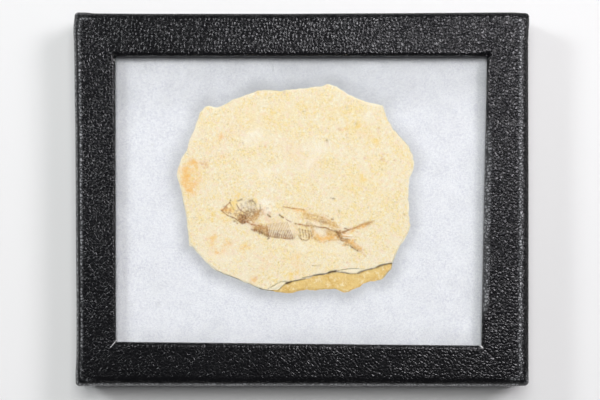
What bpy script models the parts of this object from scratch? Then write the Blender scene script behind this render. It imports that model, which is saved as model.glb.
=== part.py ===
"""A fossil fish slab kept in a shallow display case with a glass window.

The case lies flat. +X runs to its right, +Y to its back and +Z up through the glass, and the origin
is the middle of the underside. Sizes are in metres. The lid is a folded board under an embossed
paper cover, with a glass pane taped behind its window. It lifts off a tray, which holds a pad of
batting and, sunk in the pad, the stone slab with the fish in low relief.
"""

import math

import bmesh
import bpy
from mathutils import Vector

MM = 0.001

# Driving dimensions of the case.
CASE_WIDTH = 133.4 * MM
CASE_DEPTH = 109.6 * MM
CASE_HEIGHT = 19.0 * MM
WINDOW_BORDER = 12.5 * MM
COVER_CORNER = 1.2 * MM
TOP_EDGE_ROUND = 2.4 * MM
RIM_LIFT = 0.5 * MM

# Sheets and clearances.
BOARD = 1.1 * MM
PAPER = 0.25 * MM
TAPE = 0.3 * MM
GAP = 0.3 * MM
LID_CLEARANCE = 0.4 * MM
SMALLEST_CORNER = 0.3 * MM
INNER_BOARD_CORNER = 0.15 * MM

# Turned-in paper, tape and glass.
WINDOW_FLAP = 7.0 * MM
RIM_FLAP = 6.5 * MM
TRAY_FLAP = 6.0 * MM
TAPE_LEG = 5.0 * MM
TAPE_DROP = 5.5 * MM
GLASS_THICKNESS = 2.0 * MM
GLASS_EDGE_ROUND = 0.2 * MM

# Slab and pad.
SLAB_THICKNESS = 6.0 * MM
LEDGE_DEPTH = 0.6 * MM
RELIEF_HEIGHT = 0.25 * MM
PAD_EDGE_WIDTH = 5.0 * MM
PAD_EDGE_DROP = 3.0 * MM
POCKET_CLEARANCE = 0.4 * MM

# Heights of the layers, worked down from the lid's top and up from the tray's underside.
BOARD_TOP = CASE_HEIGHT - PAPER - GAP
FLAP_TOP = BOARD_TOP - BOARD - GAP
GLASS_TOP = FLAP_TOP - PAPER - GAP
GLASS_UNDERSIDE = GLASS_TOP - GLASS_THICKNESS
TAPE_TOP = GLASS_UNDERSIDE - GAP
TRAY_TOP = TAPE_TOP - TAPE - GAP
TRAY_FLOOR = PAPER + GAP + BOARD
PAD_TOP = GLASS_UNDERSIDE - GAP
SLAB_TOP = PAD_TOP - RELIEF_HEIGHT
SLAB_UNDERSIDE = SLAB_TOP - SLAB_THICKNESS

# Distances in from the lid's outer face to the faces of the walls.
LID_BOARD_OUTER = PAPER + GAP
LID_BOARD_INNER = LID_BOARD_OUTER + BOARD
LID_INNER_FACE = LID_BOARD_INNER + GAP + PAPER
TRAY_OUTER = LID_INNER_FACE + LID_CLEARANCE
TRAY_BOARD_OUTER = TRAY_OUTER + PAPER + GAP
TRAY_INNER_FACE = TRAY_BOARD_OUTER + BOARD + GAP + PAPER
PAD_EDGE = TRAY_INNER_FACE + GAP

# Steps of the rounded folds and corners.
FOLD_STEPS = 4
CORNER_STEPS = 3

# The slab's outline in millimetres from the case's middle, counter-clockwise. Both beds share the
# edge from the right end of the fracture, over the top, to its left end.
SHARED_EDGE = (
    (26.8, -18.9), (27.8, -16.2), (28.8, -13.9), (30.1, -12.2), (31.4, -10.1), (32.1, -7.5),
    (31.7, -4.4), (31.6, 3.3), (31.8, 6.3), (32.9, 9.1), (33.2, 11.2), (32.9, 13.0),
    (31.9, 15.3), (30.4, 17.4), (28.6, 19.1), (26.8, 21.5), (25.5, 23.7), (24.5, 26.1),
    (23.9, 28.0), (20.9, 28.7), (18.6, 29.2), (14.3, 31.0), (12.2, 32.2), (10.4, 33.5),
    (8.8, 34.1), (7.3, 34.4), (5.9, 33.8), (0.2, 33.1), (-4.8, 32.6), (-6.5, 32.3),
    (-8.5, 32.6), (-10.9, 32.7), (-13.1, 32.5), (-17.6, 30.9), (-20.9, 29.5), (-23.5, 28.1),
    (-25.2, 27.3), (-26.2, 27.4), (-27.7, 27.9), (-28.9, 27.4), (-30.4, 26.0), (-31.9, 21.3),
    (-33.4, 17.8), (-34.4, 14.5), (-35.9, 12.0), (-36.7, 10.2), (-37.3, 7.3), (-36.0, 2.7),
    (-35.1, -1.6), (-34.2, -6.9), (-33.7, -12.4), (-33.4, -13.7), (-32.6, -13.9), (-30.0, -17.0),
    (-26.9, -20.1), (-25.4, -21.1), (-20.3, -23.1), (-15.7, -25.0), (-12.6, -26.5), (-10.1, -27.1),
)
LEDGE_EDGE = (
    (-7.0, -27.5), (-5.0, -27.7), (-3.0, -27.7), (-0.7, -27.1), (1.4, -26.7), (3.8, -27.1),
    (5.6, -26.7), (9.7, -26.6), (12.2, -27.5), (13.7, -27.4), (16.8, -26.0), (18.3, -25.0),
    (19.9, -24.4), (23.2, -23.9), (24.2, -23.4), (25.3, -21.9), (26.5, -20.6),
)
FRACTURE_EDGE = (
    (-7.3, -26.6), (-5.4, -25.2), (-3.6, -24.4), (0.2, -23.6), (2.0, -23.4), (4.3, -22.3),
    (7.1, -22.1), (8.4, -21.6), (9.7, -21.3), (12.7, -21.7), (16.0, -22.1), (17.6, -21.4),
    (20.1, -20.6), (21.7, -20.3), (22.9, -19.7), (24.5, -19.2),
)

# The fish in millimetres: its body outline, and lines of bone with half width and height.
FISH_BODY = (
    (-24.0, -3.2), (-21.3, -4.7), (-18.1, -7.0), (-14.8, -8.7), (-11.2, -10.6), (-6.7, -11.2),
    (-2.4, -11.6), (1.9, -11.9), (5.3, -12.2), (8.0, -11.7), (10.6, -11.3), (11.8, -10.4),
    (11.2, -9.3), (9.9, -7.2), (6.2, -5.4), (0.6, -4.1), (-5.4, -2.3), (-8.6, -1.5),
    (-12.4, -0.9), (-14.4, 0.1), (-17.1, 0.5), (-19.4, 1.5), (-21.3, -0.3), (-22.9, -2.1),
)
BODY_RISE = 0.10
BACKBONE = ((-12.0, -4.4), (-6.7, -4.9), (-3.4, -6.4), (0.1, -7.5), (4.8, -8.2), (8.1, -9.0), (11.4, -9.9))
GILL_EDGE = ((-14.2, 0.0), (-13.4, -1.4), (-12.5, -3.4), (-13.4, -5.8), (-14.4, -7.0))
JAW = ((-23.8, -3.4), (-21.3, -4.4), (-18.1, -6.4))
FOREHEAD = ((-23.6, -2.7), (-21.3, -0.7), (-19.4, 1.0), (-17.1, 0.1))
DORSAL_FIN = ((-5.0, -2.6), (-2.0, -3.0), (0.4, -3.6))
REAR_BACK = ((1.2, -4.7), (4.5, -5.4), (7.8, -6.6))
ANAL_FIN = ((0.4, -11.5), (3.7, -11.4), (7.8, -11.3))
TAIL_UPPER = ((11.2, -9.7), (13.9, -8.8), (17.2, -7.7), (21.3, -6.3))
TAIL_LOWER = ((11.2, -10.1), (12.2, -12.0), (14.8, -13.0), (17.4, -15.1))
UPPER_JAW_BONE = ((-22.4, -2.6), (-21.0, -3.1), (-19.6, -1.6))
LOWER_JAW_BONE = ((-22.0, -3.9), (-20.4, -3.7), (-19.0, -2.6))
GILL_COVER = ((-17.6, -4.4), (-16.0, -5.2), (-14.6, -4.6))
EYE_MIDDLE = (-17.0, -1.6)
EYE_RADIUS = 1.25
EYE_STEPS = 9
STRONG_BONE = (0.32, 0.24)
LIGHT_BONE = (0.20, 0.18)
RIB_BONE = (0.10, 0.17)
RIB_COUNT = 16
RIB_SPACING = 0.53
FIRST_RIB = -11.0
RIB_TOP = -6.7
RIB_FOOT = -10.7
RIB_LEAN = 0.5
REAR_SPINES = 8
REAR_SPINE_SPACING = 1.0
FIRST_REAR_SPINE = 0.8
TAIL_RAYS = 5
TAIL_RAY_ROOT = (12.6, -9.9)
TAIL_RAY_TOP = (17.0, -8.4)
TAIL_RAY_BOTTOM = (15.2, -12.6)
BONE_SINK = 0.6


def material(name, colour, roughness, transmission=0.0):
    """A plain Principled material in one colour."""
    made = bpy.data.materials.new(name)
    made.use_nodes = True
    shader = made.node_tree.nodes["Principled BSDF"]
    shader.inputs["Base Color"].default_value = (*colour, 1.0)
    shader.inputs["Roughness"].default_value = roughness
    shader.inputs["Metallic"].default_value = 0.0
    shader.inputs["Transmission Weight"].default_value = transmission
    made.diffuse_color = (*colour, 1.0)
    return made


def add_object(name, mesh, finish, parent=None, location=(0.0, 0.0, 0.0), turn=0.0):
    """An object in the scene with its own material, placed by location and a turn about Z."""
    added = bpy.data.objects.new(name, mesh)
    bpy.context.scene.collection.objects.link(added)
    if finish:
        mesh.materials.append(finish)
    added.parent = parent
    added.location = location
    added.rotation_euler = (0.0, 0.0, turn)
    return added


def mesh_from(name, shape, smooth=False):
    """Turns a bmesh into a mesh. Smooth shading keeps edges over 40 degrees sharp."""
    mesh = bpy.data.meshes.new(name)
    shape.to_mesh(mesh)
    shape.free()
    if smooth:
        mesh.shade_smooth()
        mesh.set_sharp_from_angle(angle=math.radians(40.0))
    return mesh


def hide(helper):
    """Leaves a cutter or a body that a Boolean joins out of the part."""
    helper.hide_render = True
    helper.display_type = "WIRE"


def folded_path(corners):
    """Points (inset, height) along a path through the corners (inset, height, fold radius)."""
    points = [corners[0][:2]]
    for before, corner, after in zip(corners, corners[1:], corners[2:]):
        here = Vector(corner[:2])
        back = (Vector(before[:2]) - here).normalized()
        ahead = (Vector(after[:2]) - here).normalized()
        half_angle = back.angle(ahead) / 2.0
        middle = here + (back + ahead).normalized() * corner[2] / math.sin(half_angle)
        start = here + back * corner[2] / math.tan(half_angle) - middle
        end = here + ahead * corner[2] / math.tan(half_angle) - middle
        for step in range(FOLD_STEPS + 1):
            direction = start.normalized().slerp(end.normalized(), step / FOLD_STEPS)
            points.append(tuple(middle + direction * corner[2]))
    points.append(corners[-1][:2])
    return points


def rounded_rectangle(inset, height, corner=COVER_CORNER):
    """The case's outline drawn in by inset, counter-clockwise, at this height.

    Its corners have the radius corner where the inset is none, and tighten as it is drawn in.
    """
    radius = max(corner - inset, SMALLEST_CORNER)
    half_width = CASE_WIDTH / 2.0 - inset - radius
    half_depth = CASE_DEPTH / 2.0 - inset - radius
    points = []
    for quarter, (side_x, side_y) in enumerate(((1, 1), (-1, 1), (-1, -1), (1, -1))):
        for step in range(CORNER_STEPS + 1):
            angle = math.radians(90.0) * (quarter + step / CORNER_STEPS)
            points.append(
                (
                    side_x * half_width + radius * math.cos(angle),
                    side_y * half_depth + radius * math.sin(angle),
                    height,
                )
            )
    return points


def bridge(shape, loops):
    """Joins closed loops of points, in order, with faces whose front is left of the path."""
    rings = [[shape.verts.new(point) for point in loop] for loop in loops]
    for ring, following in zip(rings, rings[1:]):
        for index, corner in enumerate(ring):
            neighbour = (index + 1) % len(ring)
            shape.faces.new((corner, following[index], following[neighbour], ring[neighbour]))
    return rings


def wrapped_sheet(name, corners, corner=COVER_CORNER, closed_end=False):
    """A sheet folded along a path and carried round the case, closed across its end if asked."""
    shape = bmesh.new()
    loops = [rounded_rectangle(inset, height, corner) for inset, height in folded_path(corners)]
    rings = bridge(shape, loops)
    if closed_end:
        shape.faces.new(reversed(rings[-1]))
    return mesh_from(name, shape, smooth=True)


def thicken(sheet, thickness):
    """Gives a sheet its thickness behind its front face."""
    solidify = sheet.modifiers.new("thickness", "SOLIDIFY")
    solidify.thickness = thickness
    solidify.offset = -1.0
    solidify.use_even_offset = True


def drawn_in(outline, distance):
    """A counter-clockwise outline moved inwards by distance, or outwards if it is negative."""
    moved = []
    for index, point in enumerate(outline):
        before = Vector(outline[index - 1])
        after = Vector(outline[(index + 1) % len(outline)])
        along = (after - before).normalized()
        moved.append((point[0] - along.y * distance, point[1] + along.x * distance))
    return moved


def stone_bed(name, outline, levels):
    """A closed body with this outline, drawn in by (distance, height) at each level from the top."""
    shape = bmesh.new()
    loops = []
    for distance, height in levels:
        loops.append([(x * MM, y * MM, height) for x, y in drawn_in(outline, distance / MM)])
    rings = bridge(shape, loops)
    shape.faces.new(rings[0])
    shape.faces.new(reversed(rings[-1]))
    return mesh_from(name, shape)


def add_bone(shape, line, half_width, rise):
    """A ridge along a line in millimetres, flat-topped and tapered to its two ends."""
    sections = []
    last = len(line) - 1
    for index, point in enumerate(line):
        along = Vector(line[min(index + 1, last)]) - Vector(line[max(index - 1, 0)])
        across = Vector((-along.y, along.x)).normalized()
        share = 0.45 if index in (0, last) else 1.0
        section = []
        for offset, height in ((1.0, -BONE_SINK), (-1.0, -BONE_SINK), (-0.5, rise), (0.5, rise)):
            place = Vector(point) + across * offset * half_width * share
            section.append(shape.verts.new((place.x * MM, place.y * MM, height * MM)))
        sections.append(section)
    for first, second in zip(sections, sections[1:]):
        for index in range(4):
            following = (index + 1) % 4
            shape.faces.new((first[index], first[following], second[following], second[index]))
    shape.faces.new(reversed(sections[0]))
    shape.faces.new(sections[-1])


def make_fish():
    """The fish's bones as ridges that rise from the stone's surface at height zero."""
    shape = bmesh.new()
    for line in (BACKBONE, GILL_EDGE, DORSAL_FIN, TAIL_UPPER, TAIL_LOWER):
        add_bone(shape, line, *STRONG_BONE)
    for line in (JAW, FOREHEAD, UPPER_JAW_BONE, LOWER_JAW_BONE, GILL_COVER, REAR_BACK, ANAL_FIN):
        add_bone(shape, line, *LIGHT_BONE)
    eye = []
    for step in range(EYE_STEPS):
        angle = math.radians(330.0) * step / (EYE_STEPS - 1)
        eye_x = EYE_MIDDLE[0] + EYE_RADIUS * math.cos(angle)
        eye_y = EYE_MIDDLE[1] + EYE_RADIUS * math.sin(angle)
        eye.append((eye_x, eye_y))
    add_bone(shape, eye, *LIGHT_BONE)
    for number in range(RIB_COUNT):
        top = FIRST_RIB + number * RIB_SPACING
        add_bone(shape, ((top, RIB_TOP), (top + 0.1, -8.8), (top + RIB_LEAN, RIB_FOOT)), *RIB_BONE)
    for number in range(REAR_SPINES):
        top = FIRST_REAR_SPINE + number * REAR_SPINE_SPACING
        start = -8.1 - 0.16 * number
        add_bone(shape, ((top, start), (top + 0.4, start - 1.2), (top + 0.5, start - 2.3)), *RIB_BONE)
    for number in range(TAIL_RAYS):
        share = (number + 1) / (TAIL_RAYS + 1)
        root = Vector(TAIL_RAY_ROOT)
        tip = Vector(TAIL_RAY_TOP).lerp(Vector(TAIL_RAY_BOTTOM), share)
        add_bone(shape, (tuple(root), tuple(root.lerp(tip, 0.5)), tuple(tip)), *RIB_BONE)
    bmesh.ops.recalc_face_normals(shape, faces=shape.faces)
    return mesh_from("fish_bones", shape)


def join(target, helper):
    """Unites a hidden helper with a piece."""
    union = target.modifiers.new(helper.name, "BOOLEAN")
    union.operation = "UNION"
    union.solver = "EXACT"
    union.use_self = True
    union.object = helper
    hide(helper)


def make_slab(parent):
    """The slab: a lower bed, the upper bed that has split off its front edge, and the fish."""
    whole_outline = SHARED_EDGE + LEDGE_EDGE
    upper_outline = SHARED_EDGE + FRACTURE_EDGE
    ledge = -LEDGE_DEPTH
    lower_levels = (
        (0.45 * MM, ledge),
        (0.10 * MM, ledge - 0.5 * MM),
        (0.30 * MM, ledge - 2.5 * MM),
        (1.60 * MM, -SLAB_THICKNESS),
    )
    upper_levels = ((0.75 * MM, 0.0), (0.40 * MM, -0.45 * MM), (0.50 * MM, ledge - 0.4 * MM))
    slab = add_object(
        "fossil_slab",
        stone_bed("fossil_slab", whole_outline, lower_levels),
        material("stone", (0.86, 0.74, 0.52), 0.85),
        parent,
        (0.0, 0.0, SLAB_TOP),
    )
    upper = add_object("upper_bed", stone_bed("upper_bed", upper_outline, upper_levels), None, slab)
    body_levels = ((0.35 * MM, BODY_RISE * MM), (0.0, 0.0), (0.0, -BONE_SINK * MM))
    body = add_object("fish_body", stone_bed("fish_body", FISH_BODY, body_levels), None, slab)
    bones = add_object("fish_bones", make_fish(), None, slab)
    for helper in (upper, body, bones):
        join(slab, helper)
    return slab


def make_pad(parent):
    """The batting: a cushion with a crowned edge, and a pocket that takes the slab."""
    shape = bmesh.new()
    edge_steps = 5
    loops = []
    for step in range(edge_steps + 1):
        turn = math.radians(90.0) * step / edge_steps
        inset = PAD_EDGE + PAD_EDGE_WIDTH * (1.0 - math.sin(turn))
        loops.append(rounded_rectangle(inset, PAD_TOP - PAD_EDGE_DROP * (1.0 - math.cos(turn))))
    floor = TRAY_FLOOR + GAP
    loops.append(rounded_rectangle(PAD_EDGE, floor + 1.0 * MM))
    loops.append(rounded_rectangle(PAD_EDGE + 1.0 * MM, floor))
    rings = bridge(shape, loops)
    shape.faces.new(rings[0])
    shape.faces.new(reversed(rings[-1]))
    pad = add_object(
        "batting_pad",
        mesh_from("batting_pad", shape, smooth=True),
        material("batting", (0.86, 0.87, 0.90), 0.95),
        parent,
    )
    pocket_levels = (
        (-POCKET_CLEARANCE, PAD_TOP + 2.0 * MM),
        (-POCKET_CLEARANCE, SLAB_UNDERSIDE - GAP),
    )
    pocket = add_object(
        "slab_pocket", stone_bed("slab_pocket", SHARED_EDGE + LEDGE_EDGE, pocket_levels), None, parent
    )
    hide(pocket)
    cut = pad.modifiers.new("pocket", "BOOLEAN")
    cut.operation = "DIFFERENCE"
    cut.solver = "EXACT"
    cut.object = pocket
    return pad


def make_lid_board(parent):
    """Folded board: the window frame on top and four walls down to the rim."""
    corners = (
        (WINDOW_BORDER - PAPER - GAP, BOARD_TOP, 0.0),
        (LID_BOARD_OUTER, BOARD_TOP, TOP_EDGE_ROUND - PAPER - GAP),
        (LID_BOARD_OUTER, RIM_LIFT + PAPER + GAP, 0.0),
    )
    board = add_object(
        "lid_board",
        wrapped_sheet("lid_board", corners, LID_BOARD_INNER + INNER_BOARD_CORNER),
        material("board", (0.42, 0.36, 0.28), 0.9),
        parent,
    )
    thicken(board, BOARD)
    return board


def make_lid_cover(parent):
    """Embossed paper round the board, turned in behind the window and up inside the rim."""
    fold = PAPER + 0.1 * MM
    corners = (
        (WINDOW_BORDER - WINDOW_FLAP, FLAP_TOP - PAPER, 0.0),
        (WINDOW_BORDER, FLAP_TOP - PAPER, fold),
        (WINDOW_BORDER, CASE_HEIGHT, 0.7 * MM),
        (0.0, CASE_HEIGHT, TOP_EDGE_ROUND),
        (0.0, RIM_LIFT, fold),
        (LID_INNER_FACE, RIM_LIFT, fold),
        (LID_INNER_FACE, RIM_LIFT + RIM_FLAP, 0.0),
    )
    cover = add_object(
        "lid_cover",
        wrapped_sheet("lid_cover", corners),
        material("black_cover", (0.012, 0.012, 0.014), 0.45),
        parent,
    )
    thicken(cover, PAPER)
    return cover


def make_glass(parent):
    """The pane, with its cut edges eased."""
    shape = bmesh.new()
    bmesh.ops.create_cube(shape, size=1.0)
    inset = LID_BOARD_INNER + GAP
    size = Vector((CASE_WIDTH - 2.0 * inset, CASE_DEPTH - 2.0 * inset, GLASS_THICKNESS))
    bmesh.ops.scale(shape, vec=size, verts=shape.verts)
    pane = add_object(
        "glass_pane",
        mesh_from("glass_pane", shape),
        material("glass", (0.95, 0.98, 0.97), 0.02, 1.0),
        parent,
        (0.0, 0.0, (GLASS_TOP + GLASS_UNDERSIDE) / 2.0),
    )
    bevel = pane.modifiers.new("eased_edges", "BEVEL")
    bevel.width = GLASS_EDGE_ROUND
    bevel.segments = 2
    return pane


def make_tape(name, length, distance, turn, finish, parent):
    """An angle of gummed paper: one leg under the glass's edge, one down the lid's wall."""
    inset = LID_BOARD_INNER + GAP
    profile = (
        (TAPE_LEG, 0.0),
        (TAPE + 0.2 * MM, 0.0),
        (TAPE, -0.2 * MM),
        (TAPE, -TAPE_DROP),
    )
    shape = bmesh.new()
    ends = []
    for side in (-0.5, 0.5):
        ends.append([shape.verts.new((-inward, side * length, -TAPE + drop)) for inward, drop in profile])
    for index in range(len(profile) - 1):
        shape.faces.new((ends[0][index], ends[1][index], ends[1][index + 1], ends[0][index + 1]))
    reach = distance - inset
    location = (reach * math.cos(turn), reach * math.sin(turn), TAPE_TOP)
    tape = add_object(name, mesh_from(name, shape), finish, parent, location, turn)
    thicken(tape, TAPE)
    return tape


def make_tapes(parent):
    """Four lengths of tape, the front and back ones cut short between the side ones."""
    finish = material("tape", (0.55, 0.43, 0.28), 0.8)
    inset = LID_BOARD_INNER + GAP
    side_length = CASE_DEPTH - 2.0 * inset
    end_length = CASE_WIDTH - 2.0 * (inset + TAPE_LEG + GAP)
    return [
        make_tape("glass_tape_right", side_length, CASE_WIDTH / 2.0, 0.0, finish, parent),
        make_tape("glass_tape_back", end_length, CASE_DEPTH / 2.0, math.pi / 2.0, finish, parent),
        make_tape("glass_tape_left", side_length, CASE_WIDTH / 2.0, math.pi, finish, parent),
        make_tape("glass_tape_front", end_length, CASE_DEPTH / 2.0, -math.pi / 2.0, finish, parent),
    ]


def make_tray_board(parent):
    """Folded board: four walls and the floor."""
    corners = (
        (TRAY_BOARD_OUTER, TRAY_TOP - PAPER - GAP, 0.0),
        (TRAY_BOARD_OUTER, PAPER + GAP, BOARD + 0.1 * MM),
        (CASE_DEPTH / 4.0, PAPER + GAP, 0.0),
    )
    board = add_object(
        "tray_board",
        wrapped_sheet("tray_board", corners, TRAY_BOARD_OUTER + BOARD + INNER_BOARD_CORNER, closed_end=True),
        material("board_tray", (0.42, 0.36, 0.28), 0.9),
        parent,
    )
    thicken(board, BOARD)
    return board


def make_tray_cover(parent):
    """Smooth paper over the tray's outside, turned over the top of its walls."""
    fold = PAPER + 0.1 * MM
    corners = (
        (TRAY_INNER_FACE, TRAY_TOP - TRAY_FLAP, 0.0),
        (TRAY_INNER_FACE, TRAY_TOP, fold),
        (TRAY_OUTER, TRAY_TOP, fold),
        (TRAY_OUTER, 0.0, BOARD + PAPER + GAP + 0.1 * MM),
        (CASE_DEPTH / 4.0, 0.0, 0.0),
    )
    cover = add_object(
        "tray_cover",
        wrapped_sheet("tray_cover", corners, closed_end=True),
        material("black_paper", (0.015, 0.015, 0.016), 0.6),
        parent,
    )
    thicken(cover, PAPER)
    return cover


def clear_scene():
    """Removes every object."""
    for existing in list(bpy.data.objects):
        bpy.data.objects.remove(existing, do_unlink=True)


def add_empty(name):
    """An empty that a group of pieces is parented to."""
    group = bpy.data.objects.new(name, None)
    bpy.context.scene.collection.objects.link(group)
    return group


def build():
    """The lid with its glass, and the tray with its pad and slab."""
    clear_scene()
    lid = add_empty("lid")
    make_lid_board(lid)
    make_lid_cover(lid)
    make_glass(lid)
    make_tapes(lid)
    tray = add_empty("tray")
    make_tray_board(tray)
    make_tray_cover(tray)
    make_pad(tray)
    make_slab(tray)


build()
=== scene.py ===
"""A fossil fish slab in a shallow display case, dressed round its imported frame.

Lengths are millimetres from the middle of the case's underside, +X to the right, +Y to the back and
+Z up through the glass, and a mesh is written in metres at the very end. The lid's paper, its board,
the batting and the stone are surfaces worked out as whole arrays; the glass, the tapes and the tray
keep the frame's own shapes under new finishes.
"""

import logging
import math
from dataclasses import dataclass
from enum import Enum

import bpy
import numpy as np
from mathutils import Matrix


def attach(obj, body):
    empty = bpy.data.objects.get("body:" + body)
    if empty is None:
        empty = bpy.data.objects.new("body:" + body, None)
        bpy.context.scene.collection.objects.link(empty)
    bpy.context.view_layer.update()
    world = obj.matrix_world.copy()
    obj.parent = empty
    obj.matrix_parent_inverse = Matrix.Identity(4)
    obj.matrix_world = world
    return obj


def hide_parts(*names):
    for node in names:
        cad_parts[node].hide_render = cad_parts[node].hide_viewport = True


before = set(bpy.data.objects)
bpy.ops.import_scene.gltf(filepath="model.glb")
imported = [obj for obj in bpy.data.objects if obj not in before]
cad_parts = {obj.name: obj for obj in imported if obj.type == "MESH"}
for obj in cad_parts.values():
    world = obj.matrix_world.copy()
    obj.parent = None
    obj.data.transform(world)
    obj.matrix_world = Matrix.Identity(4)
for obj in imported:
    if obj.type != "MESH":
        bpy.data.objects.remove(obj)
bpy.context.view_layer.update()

MM = 0.001
Array = np.ndarray
Point = tuple[float, float]
Colour = tuple[float, float, float, float]
Socket = bpy.types.NodeSocket
Material = bpy.types.Material
Piece = bpy.types.Object
EVEN = (1.0, 1.0, 1.0)
LOW_BITS = 0xFFFFFFFF
RAY_STEPS = 4000
PIXELS_PER_MM = 3.368
MIDDLE_PIXEL = (302.25, 199.75)
log = logging.getLogger("fossil_case")


def display(red: float, green: float, blue: float) -> Colour:
    """A linear colour from its display values.

    Each value is divided by 255 and raised by the display's curve: ((v + 0.055) / 1.055) to the 2.4.

    Args:
        red: Red from 0 to 255.
        green: Green from 0 to 255.
        blue: Blue from 0 to 255.

    Returns:
        The linear red, green and blue, with an alpha of 1.
    """
    values = np.array([red, green, blue]) / 255.0
    linear = np.where(values <= 0.04045, values / 12.92, ((values + 0.055) / 1.055) ** 2.4)
    return (*(float(value) for value in linear), 1.0)


def lattice_value(column: Array, row: Array, seed: int) -> Array:
    """A random value for each whole-numbered lattice point.

    Column, row and seed are multiplied by large odd numbers and added, and the sum's bits are mixed
    by two rounds of shifting and multiplying.

    Args:
        column: Whole numbers along one axis.
        row: Whole numbers along the other axis.
        seed: Picks one pattern out of many.

    Returns:
        Values from -1 to 1.
    """
    column, row = column.astype(np.int64), row.astype(np.int64)
    mixed = (column * 374761393 + row * 668265263 + seed * 974711) & LOW_BITS
    mixed = ((mixed ^ (mixed >> 13)) * 1274126177) & LOW_BITS
    return ((mixed ^ (mixed >> 16)) & 0xFFFFFF) / float(0x7FFFFF) - 1.0


def smooth_noise(x: Array, y: Array, size: float, seed: int) -> Array:
    """Lattice values a size apart, blended along both axes by 3t² - 2t³.

    Args:
        x: Places along one axis.
        y: Places along the other axis.
        size: Distance between lattice points.
        seed: Picks the pattern.

    Returns:
        Noise from -1 to 1.
    """
    column, row = np.floor(x / size), np.floor(y / size)
    across, along = x / size - column, y / size - row
    across, along = across * across * (3.0 - 2.0 * across), along * along * (3.0 - 2.0 * along)
    near, far = (
        lattice_value(column, line, seed) * (1.0 - across) + lattice_value(column + 1, line, seed) * across
        for line in (row, row + 1)
    )
    return near * (1.0 - along) + far * along


def fractal(x: Array, y: Array, size: float, seed: int, octaves: int = 4) -> Array:
    """Smooth noise added up over octaves, each half as large and half as strong, and each turned.

    Args:
        x: Places along one axis.
        y: Places along the other axis.
        size: Size of the largest features.
        seed: Picks the pattern.
        octaves: How many layers are added.

    Returns:
        Noise of about -1 to 1.
    """
    total = np.zeros(np.broadcast(x, y).shape)
    for octave in range(octaves):
        turn = 0.6 + 1.3 * octave
        turned_x = x * math.cos(turn) - y * math.sin(turn)
        turned_y = x * math.sin(turn) + y * math.cos(turn)
        total += smooth_noise(turned_x, turned_y, size * 0.5**octave, seed + 17 * octave) * 0.5**octave
    return total


def ramp(values: Array, low: float, high: float) -> Array:
    """Runs from 0 at low to 1 at high, which may be below low, along 3t² - 2t³."""
    share = np.clip((values - low) / (high - low), 0.0, 1.0)
    return share * share * (3.0 - 2.0 * share)


def line_distance(x: Array, y: Array, line: tuple[Point, ...]) -> tuple[Array, Array]:
    """Distance to a line of straight pieces, or to a single point.

    A place is projected on each piece, held between its ends, and the nearest piece wins.

    Args:
        x: Places along X.
        y: Places along Y.
        line: The line's points.

    Returns:
        The distance, and how far along the line the nearest place is, from 0 to 1.
    """
    ends = np.asarray(line, float)
    if len(ends) == 1:
        return np.hypot(x - ends[0, 0], y - ends[0, 1]), np.full(x.shape, 0.5)
    steps = np.hypot(*np.diff(ends, axis=0).T)
    reached = np.concatenate(([0.0], np.cumsum(steps)))
    best = np.full(x.shape, 1e9)
    along = np.zeros(x.shape)
    for start, end, length, before in zip(ends, ends[1:], steps, reached):
        direction = (end - start) / length
        travel = np.clip((x - start[0]) * direction[0] + (y - start[1]) * direction[1], 0.0, length)
        distance = np.hypot(x - start[0] - direction[0] * travel, y - start[1] - direction[1] * travel)
        nearer = distance < best
        best = np.where(nearer, distance, best)
        along = np.where(nearer, (before + travel) / reached[-1], along)
    return best, along


def bell(distance: Array, width: float | Array, power: int = 2) -> Array:
    """Falls from 1 as e to the power of minus distance over width, itself raised to a power."""
    return np.exp(-((distance / width) ** power))


def lifted(plan: Array, height: Array) -> Array:
    """Points in space from places in plan and their heights."""
    return np.concatenate((plan, height[..., None]), -1)


def quarter_turn(points: int) -> Array:
    """Angles from 0 to 90 degrees, in radians, one a row."""
    return np.radians(np.linspace(0.0, 90.0, points))[:, None]


def steps_to_one(count: int) -> Array:
    """Even steps that leave 0 out and end at 1, one a row."""
    return np.linspace(0.0, 1.0, count + 1)[1:, None]


def unit(vectors: Array) -> Array:
    """Vectors in plan, each made one long."""
    return vectors / np.hypot(*vectors.T)[:, None]


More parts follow.
